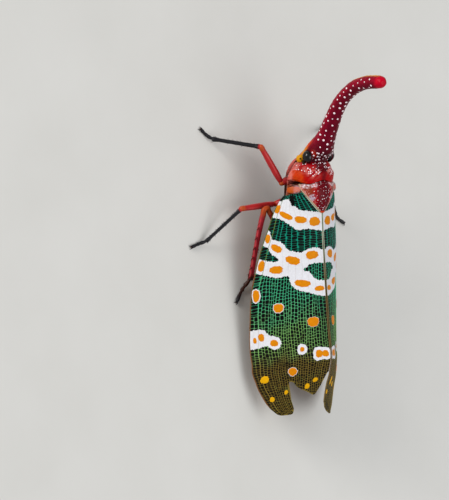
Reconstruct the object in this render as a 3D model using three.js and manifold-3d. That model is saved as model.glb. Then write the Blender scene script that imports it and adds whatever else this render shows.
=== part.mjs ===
// Lantern bug at rest, life size: a long-snouted planthopper with its wings folded like a roof.
// Units are mm. +X is the insect's right, +Y its head end, +Z up; the feet stand on Z = 0.
import * as THREE from 'three';
import { mergeVertices } from 'three/addons/utils/BufferGeometryUtils.js';
import Module from 'manifold-3d';

const wasm = await Module();
wasm.setup();

// Sizes shared by several parts
const GAP = 0.3;
const HALF_GAP = GAP / 2;
const WING_THICK = 0.5;
const SIDES = { left: -1, right: 1 };

const V = (x, y, z) => new THREE.Vector3(x, y, z);
const clamp = (v, lo, hi) => Math.min(hi, Math.max(lo, v));
const mix = (a, b, t) => a + (b - a) * t;
const smooth = (a, b, v) => {
  const t = clamp((v - a) / (b - a), 0, 1);
  return t * t * (3 - 2 * t);
};

// A smooth curve through a short table of [position, value] pairs, held flat beyond its ends
function curve(table) {
  const pts = [...table].sort((a, b) => a[0] - b[0]);
  const slope = pts.map((p, i) => {
    if (i === 0 || i === pts.length - 1) return 0;
    const d0 = (p[1] - pts[i - 1][1]) / (p[0] - pts[i - 1][0]);
    const d1 = (pts[i + 1][1] - p[1]) / (pts[i + 1][0] - p[0]);
    return d0 * d1 <= 0 ? 0 : (2 * d0 * d1) / (d0 + d1);
  });
  return (x) => {
    if (x <= pts[0][0]) return pts[0][1];
    let i = 1;
    while (i < pts.length - 1 && x > pts[i][0]) i += 1;
    const [x0, y0] = pts[i - 1];
    const [x1, y1] = pts[i];
    const h = x1 - x0;
    const t = Math.min(1, (x - x0) / h);
    const t2 = t * t;
    const t3 = t2 * t;
    return (2 * t3 - 3 * t2 + 1) * y0 + (t3 - 2 * t2 + t) * h * slope[i - 1]
      + (3 * t2 - 2 * t3) * y1 + (t3 - t2) * h * slope[i];
  };
}

// Closed bodies from rings of points

function geometryOf(points, triangles) {
  let volume = 0;
  for (const [a, b, c] of triangles) {
    volume += points[a].dot(V(0, 0, 0).crossVectors(points[b], points[c]));
  }
  const index = triangles.flatMap(([a, b, c]) => (volume < 0 ? [a, c, b] : [a, b, c]));
  const g = new THREE.BufferGeometry();
  g.setAttribute('position', new THREE.Float32BufferAttribute(points.flatMap((p) => [p.x, p.y, p.z]), 3));
  g.setIndex(index);
  return g;
}

function loft(rings) {
  const n = rings[0].length;
  const points = rings.flat();
  const triangles = [];
  for (let r = 0; r + 1 < rings.length; r += 1) {
    for (let i = 0; i < n; i += 1) {
      const a = r * n + i;
      const b = r * n + ((i + 1) % n);
      triangles.push([a, b, a + n], [b, b + n, a + n]);
    }
  }
  for (const r of [0, rings.length - 1]) {
    const hub = points.length;
    const centre = V(0, 0, 0);
    rings[r].forEach((p) => centre.addScaledVector(p, 1 / n));
    points.push(centre);
    for (let i = 0; i < n; i += 1) {
      const a = r * n + i;
      const b = r * n + ((i + 1) % n);
      triangles.push(r === 0 ? [b, a, hub] : [a, b, hub]);
    }
  }
  return geometryOf(points, triangles);
}

// One cross-section of the body: separate upper and lower halves, leaning back by `tilt` degrees
function bodyRing(s, n, grow = 0) {
  const ring = [];
  const lean = THREE.MathUtils.degToRad(s.tilt ?? 0);
  for (let i = 0; i < n; i += 1) {
    const a = (2 * Math.PI * i) / n;
    const [c, d] = [Math.cos(a), Math.sin(a)];
    const power = 2 / (d >= 0 ? s.upPow ?? 2 : s.downPow ?? 2);
    const x = Math.sign(c) * Math.abs(c) ** power * (s.half + grow);
    const h = Math.sign(d) * Math.abs(d) ** power * ((d >= 0 ? s.up : s.down) + grow);
    const dy = s.follow ? s.follow(Math.abs(x)) : 0;
    ring.push(V(x, s.y + dy - h * Math.sin(lean), s.z + h * Math.cos(lean)));
  }
  return ring;
}

const bodyLoft = (sections, n, grow = 0) => {
  const rings = sections.map((s) => bodyRing(s, n, grow));
  if (grow > 0) {
    rings[0].forEach((p) => { p.y += grow * Math.sign(sections[0].y - sections[1].y); });
    const last = sections.length - 1;
    rings[last].forEach((p) => { p.y += grow * Math.sign(sections[last].y - sections[last - 1].y); });
  }
  return loft(rings);
};

// A tube of elliptical section along a path; its end faces can be cut square to a given direction
function limb(path, radius, { sides = 10, rings = 7, cutStart, cutEnd, up = V(0, 0, 1), floor = false } = {}) {
  const line = path.length === 2 ? new THREE.LineCurve3(...path) : new THREE.CatmullRomCurve3(path, false, 'centripetal');
  const all = [];
  for (let r = 0; r < rings; r += 1) {
    const t = r / (rings - 1);
    const centre = line.getPoint(t);
    const along = line.getTangent(t).normalize();
    const across = V(0, 0, 0).crossVectors(up, along).normalize();
    const rise = V(0, 0, 0).crossVectors(along, across);
    const [w, h] = radius(t);
    const cut = r === 0 ? cutStart : r === rings - 1 ? cutEnd : null;
    const ring = [];
    for (let i = 0; i < sides; i += 1) {
      const a = (2 * Math.PI * (i + 0.5)) / sides;
      const p = centre.clone().addScaledVector(across, w * Math.cos(a)).addScaledVector(rise, h * Math.sin(a));
      if (cut) p.addScaledVector(along, -p.clone().sub(centre).dot(cut) / along.dot(cut));
      if (floor) p.z = Math.max(p.z, 0);
      ring.push(p);
    }
    all.push(ring);
  }
  return loft(all);
}

function spine(root, tip, radius, sides = 4) {
  const along = tip.clone().sub(root).normalize();
  const up = Math.abs(along.z) > 0.8 ? V(0, 1, 0) : V(0, 0, 1);
  return limb([root, tip], (t) => [mix(radius, 0.03, t), mix(radius, 0.03, t)], { sides, rings: 2, up });
}

function ball(centre, radii, wide = 14, tall = 8) {
  const rings = [];
  for (let r = 1; r < tall; r += 1) {
    const lat = (Math.PI * r) / tall;
    const ring = [];
    for (let i = 0; i < wide; i += 1) {
      const a = (2 * Math.PI * i) / wide;
      ring.push(V(
        centre.x + radii.x * Math.cos(lat),
        centre.y + radii.y * Math.sin(lat) * Math.cos(a),
        centre.z + radii.z * Math.sin(lat) * Math.sin(a),
      ));
    }
    rings.push(ring);
  }
  const g = loft(rings);
  const p = g.getAttribute('position');
  p.setX(p.count - 2, centre.x + radii.x);
  p.setX(p.count - 1, centre.x - radii.x);
  return g;
}

// Joining and cutting with manifold

function solidOf(geometry) {
  const g = geometry.clone();
  g.deleteAttribute('normal');
  g.deleteAttribute('uv');
  const m = mergeVertices(g, 1e-5);
  return new wasm.Manifold(new wasm.Mesh({
    numProp: 3,
    vertProperties: new Float32Array(m.getAttribute('position').array),
    triVerts: new Uint32Array(m.getIndex().array),
  }));
}

function largestOf(solid) {
  const size = (s) => Math.abs(s.volume());
  const best = solid.decompose().sort((a, b) => size(b) - size(a))[0].getMesh();
  const g = new THREE.BufferGeometry();
  const count = best.vertProperties.length / best.numProp;
  const xyz = new Float32Array(count * 3);
  for (let i = 0; i < count; i += 1) {
    for (let k = 0; k < 3; k += 1) xyz[i * 3 + k] = best.vertProperties[i * best.numProp + k];
  }
  g.setAttribute('position', new THREE.BufferAttribute(xyz, 3));
  g.setIndex(Array.from(best.triVerts));
  return g;
}

const join = (base, ...more) => largestOf(more.reduce((s, g) => s.add(solidOf(g)), solidOf(base)));
const cutFrom = (base, ...tools) => largestOf(tools.reduce((s, g) => s.subtract(solidOf(g)), solidOf(base)));

const mirrored = (geometry) => {
  const g = geometry.clone();
  const p = g.getAttribute('position');
  for (let i = 0; i < p.count; i += 1) p.setX(i, -p.getX(i));
  const index = Array.from(g.getIndex().array);
  for (let i = 0; i < index.length; i += 3) [index[i + 1], index[i + 2]] = [index[i + 2], index[i + 1]];
  g.setIndex(index);
  return g;
};

const group = new THREE.Group();
function add(name, geometry, colour, roughness = 0.5) {
  const mesh = new THREE.Mesh(geometry, new THREE.MeshStandardMaterial({ color: colour, roughness, name }));
  mesh.name = name;
  group.add(mesh);
}

// The roof that the folded wings form: ridge height, arc from ridge to outer edge, slope at both
const ridgeZ = curve([[3.4, 11.6], [2, 11.4], [-0.4, 11], [-7.3, 10.6], [-13.4, 10.4], [-17.8, 10.3],
  [-21.5, 10.35], [-24, 9.6], [-26, 8.6], [-28, 7.9], [-30.5, 7.4]]);
const roofArc = curve([[3.4, 5.7], [1.7, 6.7], [-0.4, 7.65], [-2.2, 8.3], [-5.7, 9.65], [-8.6, 10.5],
  [-11.7, 11.25], [-15.3, 11.65], [-20.2, 12], [-22.9, 11.7], [-25.2, 10.5], [-26.8, 9.4], [-28.7, 8], [-30.5, 6.4]]);
const ridgeSlope = curve([[3.4, 6], [0, 9], [-3, 12], [-10, 22], [-17, 28], [-22, 33], [-26, 27], [-30.5, 22]]);
const edgeSlope = curve([[3.4, 60], [-17, 61], [-22, 58], [-30.5, 54]]);

// A point on the roof, `s` mm out from the ridge, lifted along the surface's normal
function roofPoint(side, s, y, lift) {
  const a = THREE.MathUtils.degToRad(ridgeSlope(y));
  const b = THREE.MathUtils.degToRad(edgeSlope(y));
  const k = (b - a) / roofArc(y);
  const phi = a + k * s;
  const flat = smooth(0, 1.4, s);
  const lean = phi * flat;
  const x = (Math.sin(phi) - Math.sin(a)) / k + lift * Math.sin(lean);
  const z = ridgeZ(y) + (Math.cos(phi) - Math.cos(a)) / k + lift * Math.cos(lean);
  return V(side * (x + HALF_GAP), y, z);
}

// Head: a wedge from the neck up into the snout's base
const NECK_Y = 7.05;
const headSections = [
  { y: NECK_Y + GAP, z: 9.7, half: 2.2, up: 2.3, down: 2.3, upPow: 2.6, downPow: 1.8 },
  { y: 7.95, z: 10.25, half: 2.2, up: 2.4, down: 2.3, tilt: 5, upPow: 2.6, downPow: 1.8 },
  { y: 8.7, z: 11.25, half: 2.1, up: 2.15, down: 2.2, tilt: 18, upPow: 2.5, downPow: 1.8 },
  { y: 9.4, z: 12.1, half: 1.85, up: 1.85, down: 1.95, tilt: 30, upPow: 2.2 },
  { y: 10, z: 12.7, half: 1.62, up: 1.62, down: 1.65, tilt: 37 },
];
const SNOUT_PATH = [V(0, 10.24, 12.88), V(0, 11.34, 13.73), V(0, 12.98, 14.85), V(0, 15.2, 16.6), V(0, 16.75, 18.6),
  V(0, 17.82, 21.1), V(0, 18.12, 23.4), V(0, 18.05, 25.2), V(0, 17.92, 26.75)];
const snoutRadius = curve([[0, 1.58], [0.07, 1.38], [0.2, 1.22], [0.4, 1.08], [0.6, 1.02], [0.9, 0.98], [0.96, 0.82],
  [1, 0.36]]);
const EYE = { centre: V(2.2, 7.98, 11.25), radii: V(0.75, 0.88, 0.8) };
const PEDICEL = { centre: V(2.25, 7.8, 9.7), radii: V(0.6, 0.56, 0.58) };
const BRISTLE = { along: V(0.68, -0.05, 0.73), length: 1.3, radius: 0.2 };

const swollen = (part, by) => ball(part.centre, part.radii.clone().addScalar(by));
const socketed = (sections, n) => {
  const sockets = [swollen(EYE, GAP * 0.9), swollen(PEDICEL, GAP * 0.9)];
  return cutFrom(bodyLoft(sections, n), ...sockets, ...sockets.map(mirrored));
};
add('head', socketed(headSections, 28), 0x7a1f1c);
add('snout', limb(SNOUT_PATH, (t) => [snoutRadius(t), snoutRadius(t)], {
  sides: 20, rings: 24, up: V(1, 0, 0), cutStart: V(0, Math.cos(0.65), Math.sin(0.65)),
}), 0x8c1a22);

for (const [name, side] of Object.entries(SIDES)) {
  const placed = side > 0 ? (g) => g : mirrored;
  add(`eye_${name}`, placed(ball(EYE.centre, EYE.radii)), 0x2b2a2e, 0.2);
  const root = PEDICEL.centre.clone().addScaledVector(BRISTLE.along, 0.3);
  const tip = root.clone().addScaledVector(BRISTLE.along, BRISTLE.length);
  const bristle = limb([root, tip], (t) => [mix(BRISTLE.radius, 0.06, t), mix(BRISTLE.radius, 0.06, t)], { sides: 6, rings: 3 });
  add(`antenna_${name}`, placed(join(ball(PEDICEL.centre, PEDICEL.radii, 12, 7), bristle)), 0xc9721c);
}

// Prothorax: the pronotum's overhanging shield with the narrow fore breast below it
const pronotumRear = curve([[0, 0.4], [2.3, 0], [2.9, 0.25], [3.6, 0.85]]);
const prothoraxSections = [
  { y: NECK_Y, z: 8.8, half: 2.55, up: 3, down: 2.3, upPow: 2.6, downPow: 1.3 },
  { y: 6.2, z: 8.55, half: 3.2, up: 3.45, down: 2.35, upPow: 2.6, downPow: 1.3 },
  { y: 5.2, z: 8.3, half: 3.55, up: 3.8, down: 3, upPow: 2.5, downPow: 1.35 },
  { y: 3.9, z: 8.2, half: 3.6, up: 3.65, down: 3.2, upPow: 2.3, downPow: 1.35, follow: pronotumRear },
];
add('prothorax', bodyLoft(prothoraxSections, 32), 0xb02a1c);

// Mesonotum: a triangular shield that follows the roof, between the wing bases
const APEX_Y = -0.45;
const SHIELD_DEPTH = 1.1;
const shieldFront = curve([[0, 0.35], [2.3, 0], [3.6, 0.2]]);
const shieldHalf = (y) => mix(0.12, 3.6, clamp((y - APEX_Y) / 3.75, 0, 1) ** 0.95);
function shieldRing(y, followFront) {
  const half = shieldHalf(y);
  const ring = [];
  const n = 9;
  for (let i = 0; i <= n; i += 1) {
    const c = (2 * i) / n - 1;
    const dy = followFront ? shieldFront(Math.abs(c) * half) : 0;
    ring.push(roofPoint(Math.sign(c), Math.abs(c) * half, y + dy, 0.12 + 0.38 * (1 - c * c) * Math.min(1, half / 1.5)));
  }
  for (let i = n; i >= 0; i -= 1) {
    const c = (2 * i) / n - 1;
    const dy = followFront ? shieldFront(Math.abs(c) * half) : 0;
    const p = roofPoint(Math.sign(c), Math.abs(c) * half * 0.86, y + dy, 0);
    p.z -= SHIELD_DEPTH * Math.min(1, 0.35 + half / 2);
    ring.push(p);
  }
  return ring;
}
const SHIELD_FRONT = 3.9 - GAP;
const shieldRows = [[SHIELD_FRONT, true], [3, false], [2.2, false], [1.3, false], [0.4, false], [APEX_Y, false]];
add('mesonotum', loft(shieldRows.map(([y, f]) => shieldRing(y, f))), 0x8c3318);

// Thorax below the shield, and the abdomen under the wings
const thoraxSections = [
  { y: 3.9 - GAP, z: 7.3, half: 2.9, up: 1.9, down: 2.5, downPow: 1.5 },
  { y: 2, z: 7.1, half: 3, up: 1.95, down: 2.7, downPow: 1.5 },
  { y: 0, z: 6.8, half: 2.9, up: 2, down: 2.8, downPow: 1.5 },
  { y: -2.8, z: 6.2, half: 2.9, up: 1.9, down: 2.5, downPow: 1.7 },
];
add('thorax', bodyLoft(thoraxSections, 20), 0x6a3a1e);
const abdomenSections = [
  { y: -2.8 - GAP, z: 6, half: 2.85, up: 1.9, down: 2.3 },
  { y: -5, z: 5.8, half: 3.1, up: 2, down: 2.6 },
  { y: -8.5, z: 5.5, half: 3.1, up: 2, down: 2.6 },
  { y: -12, z: 5.2, half: 2.7, up: 1.9, down: 2.3 },
  { y: -15, z: 4.9, half: 2, up: 1.6, down: 1.7 },
  { y: -17, z: 4.7, half: 1.3, up: 1.2, down: 1.2 },
  { y: -17.8, z: 4.6, half: 0.6, up: 0.6, down: 0.6 },
];
const SEGMENT = 2.15;
const STEP_IN = 0.12;
function segmented(sections) {
  const along = (key) => curve(sections.map((s) => [s.y, s[key]]));
  const [z, half, up, down] = ['z', 'half', 'up', 'down'].map(along);
  const at = (y, less) => ({ y, z: z(y), half: half(y) - less, up: up(y) - less, down: down(y) - less });
  const first = sections[0].y;
  const last = sections.at(-1).y;
  const list = [];
  for (let y = first; y > last + SEGMENT * 0.5; y -= SEGMENT) {
    list.push(at(y, STEP_IN), at(y - SEGMENT * 0.4, 0.02), at(y - SEGMENT * 0.93, -0.03));
  }
  list.push(at(last + 0.35, 0), at(last, 0.1));
  return list;
}
add('abdomen', bodyLoft(segmented(abdomenSections), 20), 0xc9a35a);

// Rostrum: the long beak that lies back between the legs
const BEAK_PATH = [V(0, 8.4, 8.6), V(0, 7.9, 7.4), V(0, 7.2, 5.8), V(0, 6.2, 4.7), V(0, 5, 4.15), V(0, 3, 3.65),
  V(0, -1.5, 3.15), V(0, -5.8, 2.6)];
const beak = limb(BEAK_PATH,
  (t) => [mix(0.6, 0.28, smooth(0, 0.3, t)), mix(0.6, 0.26, smooth(0, 0.3, t))], { sides: 8, rings: 14, up: V(1, 0, 0) });
add('rostrum', cutFrom(beak, bodyLoft(headSections, 20, GAP)), 0x2a1512);

// Tegulae: scales over the wing roots, each between the shield's corner and the wing's front edge.
// Their sizes are halves of the length out along the roof, the width and the thickness.
const TEGULA = { out: 4.66, y: 3.4, lift: 0.08, half: V(0.84, 0.52, 0.38) };
for (const [name, side] of Object.entries(SIDES)) {
  const scale = ball(V(0, 0, 0), TEGULA.half, 12, 8);
  const points = scale.getAttribute('position');
  for (let i = 0; i < points.count; i += 1) {
    const p = V(0, 0, 0).fromBufferAttribute(points, i);
    const placed = roofPoint(1, TEGULA.out + p.x, TEGULA.y + p.y, TEGULA.lift + p.z);
    points.setXYZ(i, placed.x, placed.y, placed.z);
  }
  scale.computeVertexNormals();
  add(`tegula_${name}`, side > 0 ? scale : mirrored(scale), 0xc23a1c);
}

// Wings: grids over the roof, from a root line to a tail line, main veins raised as ridges
const VEINS = [0.13, 0.27, 0.42, 0.58, 0.73, 0.88];
const VEIN_HEIGHT = 0.16;
const VEIN_HALF = 0.017;
const FLAT_FROM = 0.9;
const FLAT_TO = -23.6;
const wingRoot = curve([[0, 2.75], [0.5, 2.7], [1, 2.5]]);
const TAILS = {
  left: curve([[0, -23.9], [0.08, -26], [0.17, -27.2], [0.27, -26.7], [0.42, -25.9], [0.5, -25], [0.54, -25],
    [0.565, -29], [0.7, -29.85], [0.9, -29.9], [0.98, -29.7], [1, -28.7]]),
  right: curve([[0, -28.4], [0.08, -29.2], [0.3, -29.9], [0.6, -30.2], [0.85, -30], [0.96, -29.4], [1, -28.4]]),
};

function wingColumns() {
  const columns = [[0, 0], [0.065, 0], [0.2, 0], [0.345, 0], [0.5, 0], [0.655, 0], [0.805, 0], [0.95, 0], [1, 0]];
  for (const v of VEINS) columns.push([v - VEIN_HALF, 0], [v, 1], [v + VEIN_HALF, 0]);
  columns.push([0.54, 0]);
  return columns.sort((a, b) => a[0] - b[0]);
}

function wingRows(tail, v) {
  const root = wingRoot(v);
  const rows = [0, 0.5].map((t) => mix(root, FLAT_FROM, t));
  for (let i = 0; i <= 12; i += 1) rows.push(mix(FLAT_FROM, FLAT_TO, i / 12));
  for (const t of [0.3, 0.62, 0.86, 1]) rows.push(mix(FLAT_TO, tail(v), t));
  return rows;
}

const innerEdge = (y) => (y > APEX_Y ? shieldHalf(y) + GAP * 0.9 : 0);

function shell(columns, rowsOf, place, thick, ridge) {
  const outer = columns.map(([v, raised]) => rowsOf(v).map((y, r, all) => {
    const fade = smooth(0, 2, r) * smooth(0, 1, all.length - 1 - r);
    return place(v, y, raised * ridge * fade);
  }));
  const inner = columns.map(([v]) => rowsOf(v).map((y) => place(v, y, -thick)));
  const rows = outer[0].length;
  const points = [...outer.flat(), ...inner.flat()];
  const offset = columns.length * rows;
  const triangles = [];
  for (let c = 0; c + 1 < columns.length; c += 1) {
    for (let r = 0; r + 1 < rows; r += 1) {
      const a = c * rows + r;
      const b = a + rows;
      triangles.push([a, b, a + 1], [b, b + 1, a + 1]);
      triangles.push([a + offset, a + 1 + offset, b + offset], [b + offset, a + 1 + offset, b + 1 + offset]);
    }
  }
  const rim = [];
  for (let c = 0; c < columns.length; c += 1) rim.push(c * rows);
  for (let r = 1; r < rows; r += 1) rim.push((columns.length - 1) * rows + r);
  for (let c = columns.length - 2; c >= 0; c -= 1) rim.push(c * rows + rows - 1);
  for (let r = rows - 2; r >= 1; r -= 1) rim.push(r);
  rim.forEach((a, i) => {
    const b = rim[(i + 1) % rim.length];
    triangles.push([b, a, a + offset], [b, a + offset, b + offset]);
  });
  return geometryOf(points, triangles);
}

for (const [name, side] of Object.entries(SIDES)) {
  const place = (v, y, lift) => {
    const from = innerEdge(y);
    return roofPoint(side, from + v * (roofArc(y) - from), y, lift);
  };
  const wing = shell(wingColumns(), (v) => wingRows(TAILS[name], v), place, WING_THICK, VEIN_HEIGHT);
  add(`forewing_${name}`, wing, 0x1f5a3a);
}

// Hindwings, folded flat beneath the forewings
const HIND_LIFT = -(WING_THICK + GAP);
const hindColumns = [0, 0.18, 0.2, 0.22, 0.38, 0.42, 0.44, 0.46, 0.64, 0.66, 0.68, 0.85, 1];
const hindRidges = [0.2, 0.44, 0.66];
const hindArc = curve([[0.4, 4.2], [-4, 5.6], [-10, 7.4], [-18, 8], [-22, 6.4], [-24.2, 3.4]]);
const hindTail = curve([[0, -23], [0.5, -24.2], [1, -21.5]]);
const hindInner = curve([[0.4, 2.1], [-2, 0.7], [-24, 0.5]]);
for (const [name, side] of Object.entries(SIDES)) {
  const place = (v, y, lift) => {
    const from = hindInner(y);
    return roofPoint(side, from + v * (hindArc(y) - from), y, HIND_LIFT - 0.16 + lift);
  };
  const rows = (v) => {
    const list = [];
    for (let i = 0; i <= 11; i += 1) list.push(mix(0.2, hindTail(v), i / 11));
    return list;
  };
  const columns = hindColumns.map((v) => [v, hindRidges.includes(v) ? 1 : 0]);
  add(`hindwing_${name}`, shell(columns, rows, place, WING_THICK, 0.12), 0xd9b23c);
}

// Legs. Each has a coxa set on the body, a femur, a tibia and a tarsus whose pads lie on the floor
const bodyGrown = {
  fore: [bodyLoft(prothoraxSections, 24, GAP)],
  rear: [bodyLoft(thoraxSections, 20, GAP), bodyLoft(abdomenSections, 18, GAP)],
};
const LEGS = {
  fore_left: { side: -1, body: 'fore', hip: V(1.3, 4.9, 6.5), troch: V(2.95, 4.45, 5.95), knee: V(6.5, 10, 6),
    ankle: V(11.3, 11.8, 0.75), toe: V(12.95, 13.3, 0.28) },
  mid_left: { side: -1, body: 'rear', hip: V(1.2, 1.6, 5.2), troch: V(2.65, 1.45, 3.9), knee: V(9.4, 1.15, 3.7),
    ankle: V(14.3, -3.2, 0.75), toe: V(16.8, -3.85, 0.28) },
  hind_left: { side: -1, body: 'rear', hip: V(0.9, -1.4, 5.2), troch: V(2.05, -2.85, 4.1), knee: V(5.1, 0.35, 5.05),
    ankle: V(6.3, -9.3, 1.05), toe: V(8.75, -12.5, 0.28), bend: [V(5.5, 0.85, 5.15), V(5.95, 0.75, 5.0), V(6.05, 0.1, 4.75)] },
};
LEGS.fore_right = { ...LEGS.fore_left, side: 1 };
LEGS.mid_right = { ...LEGS.mid_left, side: 1, knee: V(8.6, 4.6, 3.4), ankle: V(12.3, -0.9, 0.75), toe: V(14.35, -2.2, 0.28) };
LEGS.hind_right = { ...LEGS.hind_left, side: 1 };

const FEMUR = curve([[0, 0.34], [0.15, 0.46], [0.6, 0.46], [0.9, 0.4], [1, 0.38]]);
const TIBIA = curve([[0, 0.36], [0.1, 0.29], [0.85, 0.29], [1, 0.32]]);
const HIND_TIBIA = curve([[0, 0.36], [0.1, 0.42], [0.6, 0.37], [0.9, 0.4], [1, 0.45]]);
const TARSUS = curve([[0, 0.24], [0.29, 0.32], [0.36, 0.22], [0.5, 0.32], [0.57, 0.21], [0.93, 0.32], [1, 0.2]]);
const TIBIA_SPINES = 6;

const between = (a, b) => b.clone().sub(a).normalize();
const pulled = (p, dir, by) => p.clone().addScaledVector(dir, by);

for (const [name, leg] of Object.entries(LEGS)) {
  const placed = leg.side > 0 ? (g) => g : mirrored;
  const { hip, troch, knee, ankle, toe } = leg;
  const hind = Boolean(leg.bend);
  const colours = hind ? [0xa03018, 0x9c2a20] : [0x9c2025, 0x17181c];
  const thigh = between(troch, knee);
  const shinStart = hind ? leg.bend[0] : ankle;
  const hipCut = between(hip, troch).add(thigh).normalize();
  const kneeCut = thigh.clone().add(between(knee, shinStart)).normalize();
  const shin = between(hind ? leg.bend[2] : knee, ankle);
  const foot = between(ankle, toe);
  const ankleCut = shin.clone().add(foot).normalize();

  const coxa = limb([hip, pulled(troch, hipCut, -HALF_GAP)], (t) => [mix(0.85, 0.42, t), mix(0.85, 0.42, t)],
    { rings: 5, cutEnd: hipCut });
  add(`coxa_${name}`, placed(cutFrom(coxa, ...bodyGrown[leg.body])), 0x5a2a1c);

  add(`femur_${name}`, placed(limb([pulled(troch, hipCut, HALF_GAP), pulled(knee, kneeCut, -HALF_GAP)],
    (t) => [FEMUR(t), FEMUR(t)], { cutStart: hipCut, cutEnd: kneeCut })), colours[0]);

  const shinPath = [pulled(knee, kneeCut, HALF_GAP), ...(leg.bend ?? []), pulled(ankle, ankleCut, -HALF_GAP)];
  const width = hind ? HIND_TIBIA : TIBIA;
  let tibia = limb(shinPath, (t) => [width(t), width(t)],
    { rings: hind ? 16 : 6, sides: hind ? 10 : 8, cutStart: kneeCut, cutEnd: ankleCut });
  if (hind) {
    const spines = [];
    for (let i = 0; i < TIBIA_SPINES; i += 1) {
      const at = leg.bend[2].clone().lerp(ankle, 0.2 + 0.72 * (i / (TIBIA_SPINES - 1)));
      spines.push(spine(at, at.clone().add(V(0.85, -0.45, 0.1)), 0.2));
    }
    tibia = join(tibia, ...spines);
  }
  add(`tibia_${name}`, placed(tibia), colours[1]);

  const heel = pulled(ankle, ankleCut, HALF_GAP);
  const middle = heel.clone().lerp(toe, 0.45).setZ(0.27);
  const sole = limb([heel, middle, toe], (t) => [TARSUS(t), TARSUS(t)],
    { rings: 15, sides: 8, cutStart: ankleCut, floor: true });
  const aside = V(0, 0, 0).crossVectors(V(0, 0, 1), foot).normalize();
  const claws = [-1, 1].map((k) => {
    const root = pulled(toe, foot, -0.12).addScaledVector(aside, 0.1 * k).setZ(0.3);
    return spine(root, pulled(toe, foot, 0.45).addScaledVector(aside, 0.3 * k).setZ(0.12), 0.13);
  });
  add(`tarsus_${name}`, placed(join(sole, ...claws)), hind ? 0x5a2a18 : 0x121215);
}

// The frame's origin is under the middle of the bounding box, on the floor
const box = new THREE.Box3().setFromObject(group);
const middle = box.getCenter(V(0, 0, 0));
for (const mesh of group.children) {
  mesh.geometry = mesh.geometry.toNonIndexed();
  mesh.geometry.translate(-middle.x, -middle.y, -box.min.z);
  mesh.geometry = mergeVertices(mesh.geometry, 1e-6);
  mesh.geometry.computeVertexNormals();
}

export default group;
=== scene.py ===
"""Lantern bug at rest: the looks of a life-size still model.

Everything below is measured in mm in the insect's own axes (+X right, +Y head, +Z up), from the floor
under its midline, just ahead of the shield's apex. Mesh.build moves it to the part's frame, in metres.
"""

import math

import bpy
import numpy as np
from mathutils import Matrix, Vector
from mathutils.geometry import delaunay_2d_cdt


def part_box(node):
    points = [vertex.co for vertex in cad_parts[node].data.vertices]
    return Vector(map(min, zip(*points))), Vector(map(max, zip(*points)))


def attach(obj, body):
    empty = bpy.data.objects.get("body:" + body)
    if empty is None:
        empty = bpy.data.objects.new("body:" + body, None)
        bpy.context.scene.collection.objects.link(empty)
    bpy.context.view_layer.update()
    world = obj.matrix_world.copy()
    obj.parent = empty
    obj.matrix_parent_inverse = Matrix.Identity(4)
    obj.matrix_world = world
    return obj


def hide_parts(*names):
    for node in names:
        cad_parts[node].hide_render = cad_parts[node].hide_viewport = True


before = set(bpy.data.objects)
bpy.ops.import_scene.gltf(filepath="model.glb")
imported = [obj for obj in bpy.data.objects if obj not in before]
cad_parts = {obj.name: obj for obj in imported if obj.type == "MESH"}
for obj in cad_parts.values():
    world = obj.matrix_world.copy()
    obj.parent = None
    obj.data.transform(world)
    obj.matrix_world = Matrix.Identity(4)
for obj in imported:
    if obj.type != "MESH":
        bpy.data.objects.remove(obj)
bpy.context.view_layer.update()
APEX_Y = -0.45
HEAD_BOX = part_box("head")
OFFSET = np.array([
    (HEAD_BOX[0].x + HEAD_BOX[1].x) / 2,
    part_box("mesonotum")[0].y - APEX_Y / 1000,
    0.0,
])
SIDES = ((-1, "left"), (1, "right"))


# Small tools

def hermite(t, h, p0, m0, p1, m1):
    """From p0 to p1, a way h apart with slopes m0 and m1, at a share t of it."""
    return ((2 * t**3 - 3 * t**2 + 1) * p0 + (t**3 - 2 * t**2 + t) * h * m0
            + (3 * t**2 - 2 * t**3) * p1 + (t**3 - t**2) * h * m1)


def curve(table):
    """A smooth curve through [position, value] pairs, flat beyond its ends."""
    xs, ys = np.array(sorted(table), float).T
    d = np.diff(ys) / np.diff(xs)
    m = np.zeros(len(xs))
    for i in range(1, len(xs) - 1):
        if d[i - 1] * d[i] > 0:
            m[i] = 2 * d[i - 1] * d[i] / (d[i - 1] + d[i])

    def at(x):
        x = np.clip(np.asarray(x, float), xs[0], xs[-1])
        i = np.clip(np.searchsorted(xs, x, side="right"), 1, len(xs) - 1)
        h = xs[i] - xs[i - 1]
        return hermite((x - xs[i - 1]) / h, h, ys[i - 1], m[i - 1], ys[i], m[i])
    return at


def smooth(a, b, v):
    """0 where v is a and 1 where it is b, with an even passage between."""
    t = np.clip((np.asarray(v, float) - a) / (b - a), 0, 1)
    return t * t * (3 - 2 * t)


def bell(v, at, width):
    """1 where v is at, falling away to both sides."""
    return np.exp(-((v - at) / width) ** 2)


def squared(v, power):
    """A power of a sine or cosine that keeps its sign: below 1 it makes a circle squarer."""
    return np.sign(v) * np.abs(v) ** power


def circle(n):
    """n angles evenly round a circle."""
    return np.linspace(0, 2 * np.pi, n, endpoint=False)


def mix(a, b, t):
    """From a to b, t a number or an array like them."""
    return a + (b - a) * t


def blend(a, b, t):
    """Colour a to colour b, t an array."""
    t = np.asarray(t, float)[..., None]
    return np.asarray(a) * (1 - t) + np.asarray(b) * t


def layer(colour, *coats):
    """Other colours laid over a colour in turn, each as (colour, its amount at each point)."""
    for over, amount in coats:
        amount = np.clip(amount, 0, 1)[..., None]
        colour = colour * (1 - amount) + over * amount
    return colour


def rgb(r, g, b):
    """A screen colour as linear light."""
    c = np.array([r, g, b], float)
    return np.where(c <= 0.04045, c / 12.92, ((c + 0.055) / 1.055) ** 2.4)


def unit(v):
    """Vectors made 1 long."""
    v = np.asarray(v, float)
    return v / np.maximum(np.linalg.norm(v, axis=-1, keepdims=True), 1e-9)


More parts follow.
